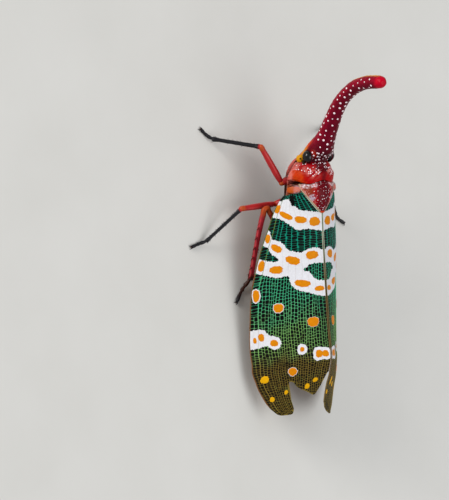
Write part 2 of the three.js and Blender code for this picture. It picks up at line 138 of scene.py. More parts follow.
def noise(p, scale, seed):
    """Cheap smooth noise of points, about -1 to 1."""
    p = np.asarray(p, float) / scale
    out = np.zeros(p.shape[:-1])
    for k in range(4):
        a = np.random.default_rng(seed * 10 + k).normal(size=3) * (1 + 0.6 * k)
        b = np.random.default_rng(seed * 10 + k + 50).normal(size=3) * (1 + 0.6 * k)
        out += np.sin(p @ a + 2.1 * np.sin(p @ b + k) + k) / (1 + 0.5 * k)
    return out / 2.2


class Mesh:
    """Gathers faces with colours at their corners, in mm."""

    def __init__(self):
        self.verts, self.faces, self.colours, self.count = [], [], [], 0

    def add(self, verts, faces, colour):
        verts = np.asarray(verts, float).reshape(-1, 3)
        faces = np.asarray(faces, int)
        colour = np.asarray(colour, float)
        if colour.ndim > 2:
            colour = colour.reshape(-1, 3)
        if colour.ndim == 1:
            loops = np.tile(colour, (faces.size, 1))
        elif len(colour) == len(verts):
            loops = colour[faces.ravel()]
        else:
            loops = np.repeat(colour, faces.shape[1], 0)
        self.verts.append(verts)
        self.faces.append(faces + self.count)
        self.colours.append(loops)
        self.count += len(verts)

    def lay(self, verts, faces, away, colour):
        """Adds the faces wound to look along away."""
        self.add(verts, turned(verts, faces, away), colour)

    def build(self, name, material, slot, nodes):
        """Makes the piece, which stands for the nodes."""
        verts = np.concatenate(self.verts) / 1000 + OFFSET
        sizes = np.concatenate([np.full(len(f), f.shape[1]) for f in self.faces])
        loops = np.concatenate([f.ravel() for f in self.faces])
        me = bpy.data.meshes.new(name)
        me.vertices.add(len(verts))
        me.vertices.foreach_set("co", verts.astype(np.float32).ravel())
        me.loops.add(len(loops))
        me.loops.foreach_set("vertex_index", loops.astype(np.int32))
        me.polygons.add(len(sizes))
        starts = np.concatenate([[0], np.cumsum(sizes)[:-1]])
        me.polygons.foreach_set("loop_start", starts.astype(np.int32))
        me.polygons.foreach_set("use_smooth", np.full(len(sizes), True))
        me.update(calc_edges=True)
        tint = me.color_attributes.new("Col", "FLOAT_COLOR", "CORNER")
        rgba = np.ones((len(loops), 4), np.float32)
        rgba[:, :3] = np.concatenate(self.colours)
        tint.data.foreach_set("color", rgba.ravel())
        me.materials.append(material)
        obj = bpy.data.objects.new(name, me)
        bpy.context.scene.collection.objects.link(obj)
        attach(obj, "root")
        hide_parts(*nodes)


def grid_faces(rows, cols, closed=False):
    """Quads of a grid of points, the columns joined round if closed."""
    r = np.arange(rows - 1)[:, None]
    c = np.arange(cols if closed else cols - 1)[None, :]
    a = r * cols + c
    b = r * cols + (c + 1) % cols
    return np.stack([a, b, b + cols, a + cols], -1).reshape(-1, 4)


def turned(verts, faces, away):
    """The faces wound to look along away, which is one direction or one for each face."""
    p = np.asarray(verts, float).reshape(-1, 3)[faces]
    normal = np.cross(p[:, 1] - p[:, 0], p[:, 2] - p[:, 1])
    normal = normal + np.cross(p[:, -1] - p[:, -2], p[:, 0] - p[:, -1])
    return faces if np.sum(normal * away) > 0 else faces[:, ::-1]


def add_tube(mesh, rings, colour, cap=(True, True)):
    """Rings of points (rows, sides, 3) as a closed tube; colour is one, or one for each ring or point."""
    rows, sides = rings.shape[:2]
    colour = np.asarray(colour, float)
    if colour.ndim == 1:
        colour = np.broadcast_to(colour, (rows, sides, 3))
    elif colour.ndim == 2:
        colour = np.broadcast_to(colour[:, None], (rows, sides, 3))
    faces = grid_faces(rows, sides, True)
    middle = np.repeat(rings.mean(1), sides, 0)[:len(faces)]
    mesh.lay(rings, faces, rings.reshape(-1, 3)[faces[:, 0]] - middle, colour)
    i = np.arange(sides)
    for row, beside, on in ((0, 1, cap[0]), (rows - 1, rows - 2, cap[1])):
        if on:
            hub = rings[row].mean(0)
            verts = np.vstack([rings[row], hub])
            fan = np.stack([i, (i + 1) % sides, np.full(sides, sides)], -1)
            tint = np.vstack([colour[row], colour[row].mean(0)])
            mesh.lay(verts, fan, hub - rings[beside].mean(0), tint)


def frames_along(path, up):
    """Directions across a path and upward, at each of its points."""
    along = unit(np.gradient(path, axis=0))
    across = unit(np.cross(np.broadcast_to(up, along.shape), along))
    return across, np.cross(along, across)


def spline(points, n):
    """n points along a smooth path through the given ones, evenly spaced."""
    p = np.asarray(points, float)
    t = np.concatenate([[0], np.cumsum(np.linalg.norm(np.diff(p, axis=0), axis=1))])
    if len(p) == 2:
        return p[0] + (p[1] - p[0]) * np.linspace(0, 1, n)[:, None]
    m = np.gradient(p, t, axis=0)
    q = np.linspace(0, t[-1], n)
    i = np.clip(np.searchsorted(t, q, side="right"), 1, len(t) - 1)
    h = (t[i] - t[i - 1])[:, None]
    s = ((q - t[i - 1]) / h[:, 0])[:, None]
    return hermite(s, h, p[i - 1], m[i - 1], p[i], m[i])


def tube_rings(path, radius, sides, up=(0, 0, 1), keel=0.0, keels=3, phase=0.0, flat=1.0, floor=None):
    """Rings round a path. keel raises ridges along it; flat squashes it upward."""
    across, rise = frames_along(path, np.asarray(up, float))
    a = circle(sides)
    r = np.asarray(radius, float)[:, None] * (1 + keel * np.cos(keels * (a + phase)))[None, :]
    rings = (path[:, None] + across[:, None] * (r * np.cos(a))[..., None]
             + rise[:, None] * (r * np.sin(a) * flat)[..., None])
    if floor is not None:
        rings[..., 2] = np.maximum(rings[..., 2], floor)
    return rings


SPINE_TIP = 0.012


def add_spine(mesh, root, tip, radius, colour, sides, rows, bend=(0, 0, 0)):
    """A curved tapered spine, its root sunk in what carries it."""
    root, tip = np.asarray(root, float), np.asarray(tip, float)
    t = np.linspace(0, 1, rows)[:, None]
    path = root + (tip - root) * t + np.asarray(bend, float) * (t * (1 - t) * 4)
    steep = abs(unit(tip - root)[2]) > 0.8
    up = (0, 1, 0) if steep else (0, 0, 1)
    r = radius * (1 - t[:, 0]) ** 0.8 + SPINE_TIP
    add_tube(mesh, tube_rings(path, r, sides, up), colour)


def add_ball(mesh, centre, radii, colour, rows, sides, axis=2, bumps=0.0):
    """A ball of three radii with its poles on an axis; colour is one, or a function of the direction."""
    lat = np.linspace(0, np.pi, rows)[:, None]
    lon = circle(sides)[None, :]
    across = np.sin(lat)
    d = np.stack([across * np.cos(lon), across * np.sin(lon), np.cos(lat) * np.ones_like(lon)], -1)
    d = np.roll(d, axis - 2, -1)
    d[0], d[-1] = d[0].mean(0), d[-1].mean(0)
    if bumps:
        d = d * (1 + bumps * np.abs(noise(d, 0.18, 3)))[..., None]
    pts = np.asarray(centre) + d * np.asarray(radii)
    if callable(colour):
        colour = colour(d)
    faces = grid_faces(rows, sides, True)
    mesh.lay(pts, faces, d.reshape(-1, 3)[faces[:, 0]], colour)


# Materials

GRAIN_SHADE = (0.86, 1.12)
GRAIN_HEIGHT = 0.00004
COAT_ROUGHNESS = 0.15


def new_material(name):
    mat = bpy.data.materials.new(name)
    mat.use_nodes = True
    return mat, mat.node_tree, mat.node_tree.nodes["Principled BSDF"]


def set_inputs(node, **values):
    """Sets a node's inputs by their names, written with underscores for spaces."""
    for name, value in values.items():
        node.inputs[name.replace("_", " ")].default_value = value


def add_node(tree, kind, **values):
    node = tree.nodes.new("ShaderNode" + kind)
    set_inputs(node, **values)
    return node


def painted(name, roughness, bump, bump_scale, coat=0.0, spread=0.1, specular=0.2):
    """Cuticle: colour from the mesh, with fine grain and an uneven shine."""
    mat, tree, shader = new_material(name)
    tint = add_node(tree, "VertexColor")
    tint.layer_name = "Col"
    coords = add_node(tree, "TexCoord")
    grain = add_node(tree, "TexNoise", Scale=bump_scale, Detail=3)
    shade = add_node(tree, "MapRange", To_Min=GRAIN_SHADE[0], To_Max=GRAIN_SHADE[1])
    scaled = add_node(tree, "VectorMath")
    scaled.operation = "SCALE"
    shine = add_node(tree, "MapRange", To_Min=roughness - spread, To_Max=roughness + spread)
    height = add_node(tree, "Bump", Strength=bump, Distance=GRAIN_HEIGHT)
    for source, target in (
        (coords.outputs["Object"], grain.inputs["Vector"]),
        (grain.outputs["Fac"], shade.inputs["Value"]),
        (tint.outputs["Color"], scaled.inputs[0]),
        (shade.outputs["Result"], scaled.inputs["Scale"]),
        (scaled.outputs["Vector"], shader.inputs["Base Color"]),
        (grain.outputs["Fac"], shine.inputs["Value"]),
        (shine.outputs["Result"], shader.inputs["Roughness"]),
        (grain.outputs["Fac"], height.inputs["Height"]),
        (height.outputs["Normal"], shader.inputs["Normal"]),
    ):
        tree.links.new(source, target)
    set_inputs(shader, Specular_IOR_Level=specular, Coat_Weight=coat, Coat_Roughness=COAT_ROUGHNESS)
    return mat


CUTICLE = painted("cuticle", 0.36, bump=0.4, bump_scale=5200, coat=0.02, specular=0.07)
LEG = painted("leg_cuticle", 0.4, bump=0.35, bump_scale=7000, coat=0.05)
EYE = painted("eye_facets", 0.22, bump=0.12, bump_scale=16000, coat=0.25, spread=0.05)
WING = painted("wing_membrane", 0.5, bump=0.15, bump_scale=4000, spread=0.08, specular=0.08)

# Colours
ORANGE = rgb(0.80, 0.48, 0.0)
SPOT_YELLOW = rgb(0.84, 0.62, 0.02)
WHITE = rgb(0.83, 0.83, 0.85)
VEIN_PALE = rgb(0.76, 0.70, 0.68)
CELL_BLACK = rgb(0.0, 0.012, 0.008)
CELL_BROWN = rgb(0.07, 0.05, 0.02)
TEAL = rgb(0.05, 0.57, 0.47)
LEAF = rgb(0.28, 0.74, 0.54)
YELLOW_GREEN = rgb(0.50, 0.72, 0.40)
OLIVE = rgb(0.50, 0.42, 0.17)
BROWN_OLIVE = rgb(0.27, 0.24, 0.09)
STRONG_VEIN = rgb(0.36, 0.46, 0.20)
RIM = rgb(0.46, 0.31, 0.17)
CRIMSON = rgb(0.37, 0.0, 0.09)
SNOUT_RED = rgb(0.52, 0.0, 0.12)
RED_TIP = rgb(0.68, 0.0, 0.12)
MAROON = rgb(0.27, 0.0, 0.05)
EYE_SIDE = rgb(0.66, 0.14, 0.03)
CHEEK = rgb(0.82, 0.54, 0.08)
BULB = rgb(0.80, 0.55, 0.06)
ORANGE_RED = rgb(0.76, 0.22, 0.03)
SCALE_ORANGE = rgb(0.68, 0.30, 0.10)
FACE_PINK = rgb(0.76, 0.36, 0.33)
WAX = rgb(0.92, 0.85, 0.87)
PINK_WAX = rgb(0.84, 0.50, 0.46)
GREY_WAX = rgb(0.66, 0.60, 0.66)
SHIELD_RED = rgb(0.58, 0.01, 0.05)
SHIELD_DARK = rgb(0.32, 0.0, 0.04)
BAND_RED = rgb(0.62, 0.0, 0.01)
BAND_ORANGE = rgb(0.74, 0.24, 0.03)
MESO_ORANGE = rgb(0.50, 0.19, 0.11)
MESO_DARK = rgb(0.36, 0.0, 0.05)
RIM_PALE = rgb(0.72, 0.62, 0.52)
LEG_RED = rgb(0.64, 0.12, 0.13)
# Pink of the painted highlight on the legs' keels.
KEEL_HIGHLIGHT = rgb(0.74, 0.28, 0.28)
LEG_CRIMSON = rgb(0.62, 0.12, 0.17)
LEG_ORANGE = rgb(0.66, 0.26, 0.09)
LEG_BLACK = rgb(0.075, 0.075, 0.09)
DARK_BROWN = rgb(0.20, 0.09, 0.05)
UNDER_GREEN = rgb(0.42, 0.47, 0.36)
UNDER_BROWN = rgb(0.60, 0.40, 0.20)
RIDGE_PALE = rgb(0.72, 0.74, 0.66)
RIDGE_BROWN = rgb(0.45, 0.36, 0.22)
EDGE_GREEN = rgb(0.30, 0.36, 0.14)
HIND_YELLOW = rgb(0.90, 0.66, 0.14)
HIND_DARK = rgb(0.10, 0.08, 0.07)
EYE_BLACK = rgb(0.03, 0.028, 0.03)
EYE_BROWN = rgb(0.10, 0.085, 0.07)
HORN = rgb(0.16, 0.13, 0.10)
BREAST_BROWN = rgb(0.55, 0.26, 0.14)
BUFF = rgb(0.78, 0.52, 0.18)
BUFF_DARK = rgb(0.62, 0.30, 0.10)

# The roof of the folded wings
ridge_z = curve([[3.4, 11.6], [2, 11.4], [-0.4, 11], [-7.3, 10.6], [-13.4, 10.4], [-17.8, 10.3],
                 [-21.5, 10.35], [-24, 9.6], [-26, 8.6], [-28, 7.9], [-30.5, 7.4]])
roof_arc = curve([[3.4, 5.7], [1.7, 6.7], [-0.4, 7.65], [-2.2, 8.3], [-5.7, 9.65], [-8.6, 10.5],
                  [-11.7, 11.25], [-15.3, 11.65], [-20.2, 12], [-22.9, 11.7], [-25.2, 10.5],
                  [-26.8, 9.4], [-28.7, 8], [-30.5, 6.4]])
ridge_slope = curve([[3.4, 6], [0, 9], [-3, 12], [-10, 22], [-17, 28], [-22, 33], [-26, 27], [-30.5, 22]])
edge_slope = curve([[3.4, 60], [-17, 61], [-22, 58], [-30.5, 54]])
HALF_GAP = 0.1
LEVEL_WIDTH = 1.4


def roof(side, s, y, lift=0.0):
    """Points on the roof, s mm out from the ridge at length y."""
    s, y, lift = np.broadcast_arrays(np.asarray(s, float), np.asarray(y, float), np.asarray(lift, float))
    a, b = np.radians(ridge_slope(y)), np.radians(edge_slope(y))
    k = (b - a) / roof_arc(y)
    phi = a + k * s
    lean = phi * smooth(0, LEVEL_WIDTH, s)
    x = (np.sin(phi) - np.sin(a)) / k + lift * np.sin(lean)
    z = ridge_z(y) + (np.cos(phi) - np.cos(a)) / k + lift * np.cos(lean)
    return np.stack([side * (x + HALF_GAP), y, z], -1)


# Forewings: a thin membrane, a mosaic of cells between veins, ridged main veins, white bands and spots
SHIELD_LENGTH = 3.75
SHIELD_HALF = 3.6
wing_root = curve([[0, 2.75], [0.5, 2.7], [1, 2.5]])
TAILS = {
    -1: curve([[0, -23.9], [0.08, -26], [0.17, -27.2], [0.27, -26.7], [0.42, -25.9], [0.5, -25],
               [0.54, -25], [0.565, -29], [0.7, -29.85], [0.9, -29.9], [0.98, -29.7], [1, -28.7]]),
    1: curve([[0, -28.4], [0.08, -29.2], [0.3, -29.9], [0.6, -30.2], [0.85, -30], [0.96, -29.4],
              [1, -28.4]]),
}
TAIL_FROM = -23.6
MEMBRANE, MEMBRANE_TOP = 0.14, -0.01
MEMBRANE_GRID = (64, 150)
RIDGE = 0.012
WHITE_LIFT = 0.045
MAIN_VEINS = [0.0, 0.09, 0.185, 0.28, 0.375, 0.47, 0.565, 0.66, 0.76, 0.89, 1.0]
SMALL_VEINS = 3
CORNERS = 16
VEIN_STEP, VEIN_SIDES = 0.12, 6
STRONG_RADIUS, FAINT_RADIUS = 0.065, 0.025
RIDGE_RADIUS, EDGE_RADIUS = 0.07, 0.1
VEIN_RADII = (0.03, 0.042)
WIDE_STRIPS = (1, 3, 5, 7, 8)
NET_START, NET_END = 2.7, -31
SMALLEST_CELL = 0.5

# White bands, as outlines in (s, y), and what is green inside them
FIRST_BAND = [(8.6, 1.85), (6.74, 1.79), (6.2, 1.75), (5.31, 2.1), (4.41, 0.94), (3.51, 0.14), (2.55, 0.06),
              (0.98, -0.26), (-1, -0.5), (-1, -3.25), (1.2, -2.88), (2.47, -2.58), (3.98, -2.79),
              (4.63, -2.2), (5.41, -1.61), (6.45, -0.8), (9, -0.3)]
BROAD_BAND = [(9.5, -2.2), (8.05, -2.25), (7.88, -3.84), (6.81, -4.06), (6.03, -4.59), (5.53, -5.56),
              (4.48, -5.85), (3.41, -6.14), (2.71, -5.67), (1.17, -5.39), (0.32, -5.86), (-1, -6.1),
              (-1, -13), (1.55, -12.5), (2.61, -12.02), (3.67, -11.8), (4.71, -11.31), (5.33, -10.47),
              (5.41, -9.3), (6.2, -9.4), (7.27, -9.57), (8.33, -9.22), (9.26, -8.94), (11.5, -8.3),
              (11.5, -6.3), (9.87, -6.52), (8.51, -6.96), (6.98, -7.22), (6.89, -6.63), (7.68, -6.17),
              (8.2, -5.6), (8.31, -4.93), (9.34, -4.58), (11, -4.2)]
GREEN_ISLAND = [(-1, -7.87), (1.42, -7.75), (2.53, -7.93), (2.6, -8.3), (3.3, -8.45), (3.2, -8.85),
                (2.35, -8.9), (1.93, -9.69), (1.15, -10.42), (-1, -10.38)]
COSTAL_BLOB = [(13, -17.2), (10.6, -16.9), (9.5, -17.0), (9.0, -17.9), (8.3, -18.0), (7.3, -18.4),
               (7.1, -19.3), (7.6, -20.0), (8.5, -20.1), (9.1, -19.5), (9.7, -19.4), (10.4, -19.7),
               (13, -19.9)]
BLACK_PATCHES = [[(7.5, 2.6), (6.6, 2.5), (5.7, 2.9), (5.75, 2.2), (6.3, 1.8), (7.4, 1.75)],
                 [(5.1, 2.9), (4.6, 2.9), (4.4, 1.9), (4.3, 0.9), (4.75, 0.85), (5.15, 1.8)]]

# Spots: s, y, half-width, half-length, slant in degrees, width of the white rim
SPOTS = [
    [6.85, 0.6, 0.42, 0.6, 20, 0], [5.6, -0.45, 1.05, 0.42, 30, 0], [3.43, -1.22, 0.95, 0.5, 8, 0],
    [1.25, -1.65, 0.9, 0.64, 0, 0], [8.42, -3.62, 0.4, 0.66, 10, 0], [7.15, -5.16, 0.88, 0.5, 28, 0],
    [4.78, -7.12, 1.08, 0.6, 15, 0], [1.85, -6.55, 0.98, 0.6, -8, 0], [9.5, -7.6, 0.48, 0.8, 10, 0],
    [7.28, -8.32, 1.04, 0.55, 5, 0], [3.47, -10.62, 1.25, 0.5, 12, 0], [0.95, -11.57, 0.7, 0.4, 0, 0],
    [10.5, -11.93, 0.48, 0.95, 0, 0.16], [7.25, -13.98, 0.7, 0.68, 0, 0.09],
    [2.21, -16.41, 0.9, 0.68, 0, 0.03], [11.1, -18.51, 0.28, 0.42, 0, 0], [10.1, -18.12, 0.46, 0.58, 0, 0],
    [8.23, -19.1, 0.58, 0.5, 0, 0], [4.17, -20.35, 0.34, 0.34, 0, 0.42], [1.72, -21.2, 0.54, 0.55, 0, 0.42],
    [0.78, -21.24, 0.5, 0.48, 0, 0.42], [5.48, -23.54, 0.68, 0.54, 45, 0.06],
]
YELLOW_SPOTS = [
    [9.5, -24.4, 0.64, 0.54, 0, 0], [7.75, -27.4, 0.37, 0.37, 0, 0], [2.8, -25.85, 0.37, 0.37, 0, 0],
    [1.8, -25.0, 0.36, 0.32, 0, 0], [5.8, -26.5, 0.28, 0.3, 0, 0],
]
RIGHT_SPOTS = [[1.54, -25.5, 0.35, 0.4, 0, 0], [0.55, -26.9, 0.3, 0.35, 0, 0]]


def shield_half(y):
    """Half the width of the shield between the wings."""
    return mix(0.12, SHIELD_HALF, np.clip((np.asarray(y, float) - APEX_Y) / SHIELD_LENGTH, 0, 1) ** 0.95)


def inner_edge(y):
    """How far out the forewing begins."""
    return np.where(np.asarray(y) > APEX_Y, shield_half(y) + 0.12, 0.0)


def wing_s(v, y):
    """The way out along the roof at a share v of the wing's width."""
    start = inner_edge(y)
    return start + v * (roof_arc(y) - start)


def wing_point(side, v, y, lift=0.0):
    return roof(side, wing_s(v, y), y, lift)


def inside(s, y, polygon):
    """True where (s, y) lies in the polygon."""
    hit = np.zeros(np.shape(s), bool)
    pts = np.asarray(polygon, float)
    for (x0, y0), (x1, y1) in zip(pts, np.roll(pts, -1, 0)):
        if y0 != y1:
            hit ^= ((y0 > y) != (y1 > y)) & (s < (x1 - x0) * (y - y0) / (y1 - y0) + x0)
    return hit


def is_white(s, y):
    white = inside(s, y, FIRST_BAND) | inside(s, y, COSTAL_BLOB)
    white |= inside(s, y, BROAD_BAND) & ~inside(s, y, GREEN_ISLAND)
    for cs, cy, rs, ry, _, rim in SPOTS:
        if rim:
            white |= ((s - cs) / (rs + rim)) ** 2 + ((y - cy) / (ry + rim)) ** 2 < 1
    return white


def vein_colour(s, y):
    """Teal at the root, then green, yellow-green and olive at the tail, in drifting patches, darkened near
    the ridge midway along as painted shade.
    """
    s, y = np.broadcast_arrays(np.asarray(s, float), np.asarray(y, float))
    at = np.stack([s, y, 0 * y], -1)
    drift, speck, burn = noise(at, 2.4, 8), noise(at, 0.5, 9), noise(at, 1.5, 10)
    return layer(
        blend(TEAL, LEAF, smooth(-4, -12, y + 2 * drift)),
        (YELLOW_GREEN, smooth(-12, -19, y + 1.6 * drift)),
        (OLIVE, smooth(-19, -23.5, y + 1.6 * drift)),
        (BROWN_OLIVE, 0.75 * smooth(0.45, 0.9, burn) * smooth(-9, -15, y)),
        # Painted shade: the veins darken near the ridge in the middle of the wing, on both wings.
        (CELL_BLACK, 0.4 * smooth(2.4, 0.6, s) * smooth(-10.5, -13.5, y) * smooth(-22, -20, y)),
        (YELLOW_GREEN, 0.35 * smooth(0.5, 1.2, speck) * smooth(-2, -9, y)),
    )


def main_v(k, y):
    """Where main vein k runs: it wanders a little, and toward the root it bends out to the strong vein."""
    v, last = MAIN_VEINS[k], len(MAIN_VEINS) - 1
    if 0 < k < last - 1:
        strong = MAIN_VEINS[-2]
        v = strong * (1 - (1 - v / strong) ** (1 + 0.45 * smooth(-9, 0.5, y)))
    free = 0 < k < last
    return v + free * (0.007 * np.sin(0.55 * y + 2.3 * k) + 0.004 * np.sin(1.3 * y + k))


def small_v(k, fraction, y):
    """A small vein at a fraction of the way from main vein k to the next."""
    free = 0 < fraction < 1
    sway = free * 0.035 * np.sin(1.7 * y + 3.1 * fraction * SMALL_VEINS + k)
    return mix(main_v(k, y), main_v(k + 1, y), fraction + sway)


def cell_list(rng):
    """Cells as main vein, the two fractions between which they lie, and their y at the four corners."""
    cells = []
    for k in range(len(MAIN_VEINS) - 1):
        costal = k == len(MAIN_VEINS) - 2
        split = -15 if costal else -7.2 - 1.6 * rng.random()
        finer, finest = -15.5 - rng.random(), -21 - rng.random()
        near_tail = 2 if costal else 3
        sections = [
            (NET_START, split, 1, 0.42 if costal else 0.34),
            (split, finer, 3 if k in WIDE_STRIPS else 2, 0.53),
            (finer, finest, near_tail, 0.5),
            (finest, NET_END, near_tail, 0.36),
        ]
        for start, end, parts, step in sections:
            lean = (0.35 if k % 2 else -0.25) * step * (parts == 1) - 0.3 * (costal and parts == 1)
            for j in range(parts):
                y_in = y_out = start
                while y_in > end + 0.01:
                    next_in = y_in - step * (0.72 + 0.56 * rng.random())
                    next_out = min(next_in + (rng.random() - 0.5) * 0.4 * step + lean, y_out - 0.12)
                    if next_in < end + 0.4 * step:
                        next_in = next_out = end
                    cells.append((k, j / parts, (j + 1) / parts, y_in, y_out, next_in, next_out))
                    y_in, y_out = next_in, next_out
    return cells


def add_cells(mesh, side):
    """Dark sunk cells with rounded corners, each within its share of the raised net of veins."""
    rng = np.random.default_rng(11)
    tail = TAILS[side]
    angle = circle(CORNERS) + np.pi / CORNERS
    c, d = np.cos(angle), np.sin(angle)
    outer = np.stack([c, d], -1) / np.maximum(np.abs(c), np.abs(d))[:, None] / 2
    inner = np.stack([squared(c, 0.55), squared(d, 0.55)], -1) / 2
    i = np.arange(CORNERS)
    ring = np.stack([i, (i + 1) % CORNERS, (i + 1) % CORNERS + CORNERS, i + CORNERS], -1)
    floor = np.stack([i + CORNERS, (i + 1) % CORNERS + CORNERS, np.full(CORNERS, 2 * CORNERS)], -1)
    lift = np.concatenate([np.full(CORNERS, RIDGE), np.zeros(CORNERS + 1)])
    for k, f0, f1, y0, y0r, y1, y1r in cell_list(rng):
        mid = (y0 + y1) / 2
        v_mid = float(small_v(k, (f0 + f1) / 2, mid))
        s_mid = float(wing_s(v_mid, mid))
        if min(y1, y1r) > wing_root(v_mid) or mid < tail(v_mid) + 0.05:
            continue
        width = float(wing_s(small_v(k, f1, mid), mid) - wing_s(small_v(k, f0, mid), mid))
        ladder = f1 - f0 > 0.9
        rung = 0.045 if ladder else 0.07
        shrink = np.maximum(SMALLEST_CELL, [1 - 0.08 / width, 1 - rung / abs(y0 - y1)])
        shift = np.zeros(2)
        if ladder and rng.random() < 0.4:
            shrink[0] *= 0.65 + 0.3 * rng.random()
            shift[0] = (0.5 - 0.5 * shrink[0] - 0.05) * rng.choice([-1, 1])
        p = np.vstack([outer, inner * shrink + shift, [shift]]) + 0.5
        y = mix(mix(y0, y0r, p[:, 0]), mix(y1, y1r, p[:, 0]), p[:, 1])
        v = mix(small_v(k, f0, y), small_v(k, f1, y), p[:, 0])
        y = np.clip(y, tail(v) + 0.01, wing_root(v) - 0.01)
        if is_white(wing_s(v, y), y).all():
            continue
        pts = wing_point(side, v, y, lift)
        vein = vein_colour(s_mid, mid)
        shade = 0.88 + 0.24 * rng.random()
        dark = blend(CELL_BLACK, CELL_BROWN, smooth(-18, -24, mid)) * (0.8 + 0.5 * rng.random())
        if rng.random() < 0.06 * smooth(-6, -12, mid):
            dark = mix(dark, vein, 0.12)
        tint = np.vstack([np.tile(vein * shade, (CORNERS, 1)), np.tile(dark, (CORNERS + 1, 1))])
        mesh.lay(pts, ring, (side, 0, 2), tint)
        mesh.lay(pts, floor, (side, 0, 2), tint)


def add_sheet(mesh, side, upper, lower, colour, under):
    """A closed thin sheet between two grids of points: both faces and the four edges."""
    faces = grid_faces(*upper.shape[:2])
    mesh.lay(upper, faces, (side, 0, 2), colour)
    mesh.lay(lower, faces, (-side, 0, -2), under)
    for cut, away in ((np.s_[0, :], (-side, 0, 0)), (np.s_[-1, :], (side, 0, -1)),
                      (np.s_[:, 0], (0, 1, 0)), (np.s_[:, -1], (0, -1, 0))):
        strip = np.stack([upper[cut], lower[cut]])
        mesh.lay(strip, grid_faces(2, strip.shape[1]), away, np.stack([colour[cut]] * 2))


def add_shell(mesh, side, top, bottom, columns, rows):
    """The closed membrane under the cells, evenly divided down to where the tail's edge begins."""
    tail = TAILS[side]
    v = np.linspace(0, 1, columns)[:, None]
    t = np.linspace(0, 1, rows)[None, :]
    split = 0.8
    body = wing_root(v) + (TAIL_FROM - wing_root(v)) * (t / split)
    end = TAIL_FROM + (tail(v) - TAIL_FROM) * ((t - split) / (1 - split))
    y = np.where(t < split, body, end)
    colour = vein_colour(wing_s(v, y), y) * 0.8
    under = blend(UNDER_GREEN, UNDER_BROWN, smooth(-2, -20, y))
    add_sheet(mesh, side, wing_point(side, v, y, top), wing_point(side, v, y, bottom), colour, under)


def add_vein(mesh, side, v_of, y0, y1, radius, colour_of, lift=0.0):
    """A half-round ridge along the wing."""
    n = max(4, int(abs(y1 - y0) / VEIN_STEP))
    y = np.linspace(y0, y1, n)
    v = v_of(y)
    taper = np.clip(np.minimum(np.arange(n), np.arange(n)[::-1]) / 6, 0.25, 1)
    rings = tube_rings(wing_point(side, v, y, lift), radius * taper, VEIN_SIDES, flat=0.8)
    add_tube(mesh, rings, colour_of(wing_s(v, y), y))


def add_spot(mesh, side, spot, colour, lift, grow=0.0, dome=0.03):
    """A domed spot with an uneven edge, laid on the wing."""
    cs, cy, rs, ry, slant, _ = spot
    n, rows = 40, 7
    a = circle(n)
    rng = np.random.default_rng(int(abs(cs * 100 + cy * 10)))
    edge = 1 + 0.05 * np.sin(2 * a + rng.random() * 6) + 0.04 * np.sin(3 * a + rng.random() * 6)
    edge += 0.04 * np.sin(8 * a + rng.random() * 6) + 0.03 * np.sin(13 * a + rng.random() * 6)
    turn_s, turn_c = np.sin(np.radians(slant)), np.cos(np.radians(slant))
    t = np.linspace(0, 1, rows)[:, None]
    u = squared(np.cos(a), 0.85) * (rs + grow) * edge
    w = squared(np.sin(a), 0.85) * (ry + grow) * edge
    s = cs + t * (u * turn_c - w * turn_s)
    y = cy + t * (u * turn_s + w * turn_c)
    s = np.clip(s, 0, roof_arc(y) - 0.02)
    pts = roof(side, s, y, lift + dome * (1 - t**4))
    pts[0] = pts[0].mean(0)
    tint = shaded(np.broadcast_to(colour, pts.shape), pts, 0.07, 0.22, 17)
    mesh.lay(pts, grid_faces(rows, n, True), (side, 0, 2), tint)


EDGE_STEP, EDGE_JAG = 0.1, 0.06
LONG_WAVE, SHORT_WAVE = 0.83, 0.31


def rounded(polygon, seed):
    """The polygon's corners rounded off and its edge made uneven, in short steps."""
    p = np.asarray(polygon, float)
    for _ in range(3):
        q = np.roll(p, -1, 0)
        p = np.stack([0.75 * p + 0.25 * q, 0.25 * p + 0.75 * q], 1).reshape(-1, 2)
    q = np.roll(p, -1, 0)
    gap = np.linalg.norm(q - p, axis=1)
    at = np.concatenate([[0], np.cumsum(gap)])
    n = int(at[-1] / EDGE_STEP)
    d = np.linspace(0, at[-1], n, endpoint=False)
    closed = np.vstack([p, p[:1]])
    out = np.stack([np.interp(d, at, closed[:, 0]), np.interp(d, at, closed[:, 1])], -1)
    normal = np.roll(out, -1, 0) - np.roll(out, 1, 0)
    normal = unit(np.stack([normal[:, 1], -normal[:, 0]], -1))
    wave = np.sin(2 * np.pi * d / SHORT_WAVE + 3 * np.sin(np.arange(n) * 0.23 + seed))
    wave = wave + 0.7 * np.sin(2 * np.pi * d / LONG_WAVE + seed)
    return out + normal * (EDGE_JAG * wave)[:, None]


PATCH_START = 2.45
PATCH_GRID = 0.33
PATCH_DEPTH = -0.03


def on_wing(loop):
    """The loop kept within the wing, without doubled points."""
    y = np.minimum(loop[:, 1], PATCH_START)
    s = np.clip(loop[:, 0], inner_edge(y) + 0.01, roof_arc(y) - 0.03)
    kept = []
    for p in zip(s, y):
        if not kept or math.dist(p, kept[-1]) > 0.05:
            kept.append(p)
    return np.array(kept)


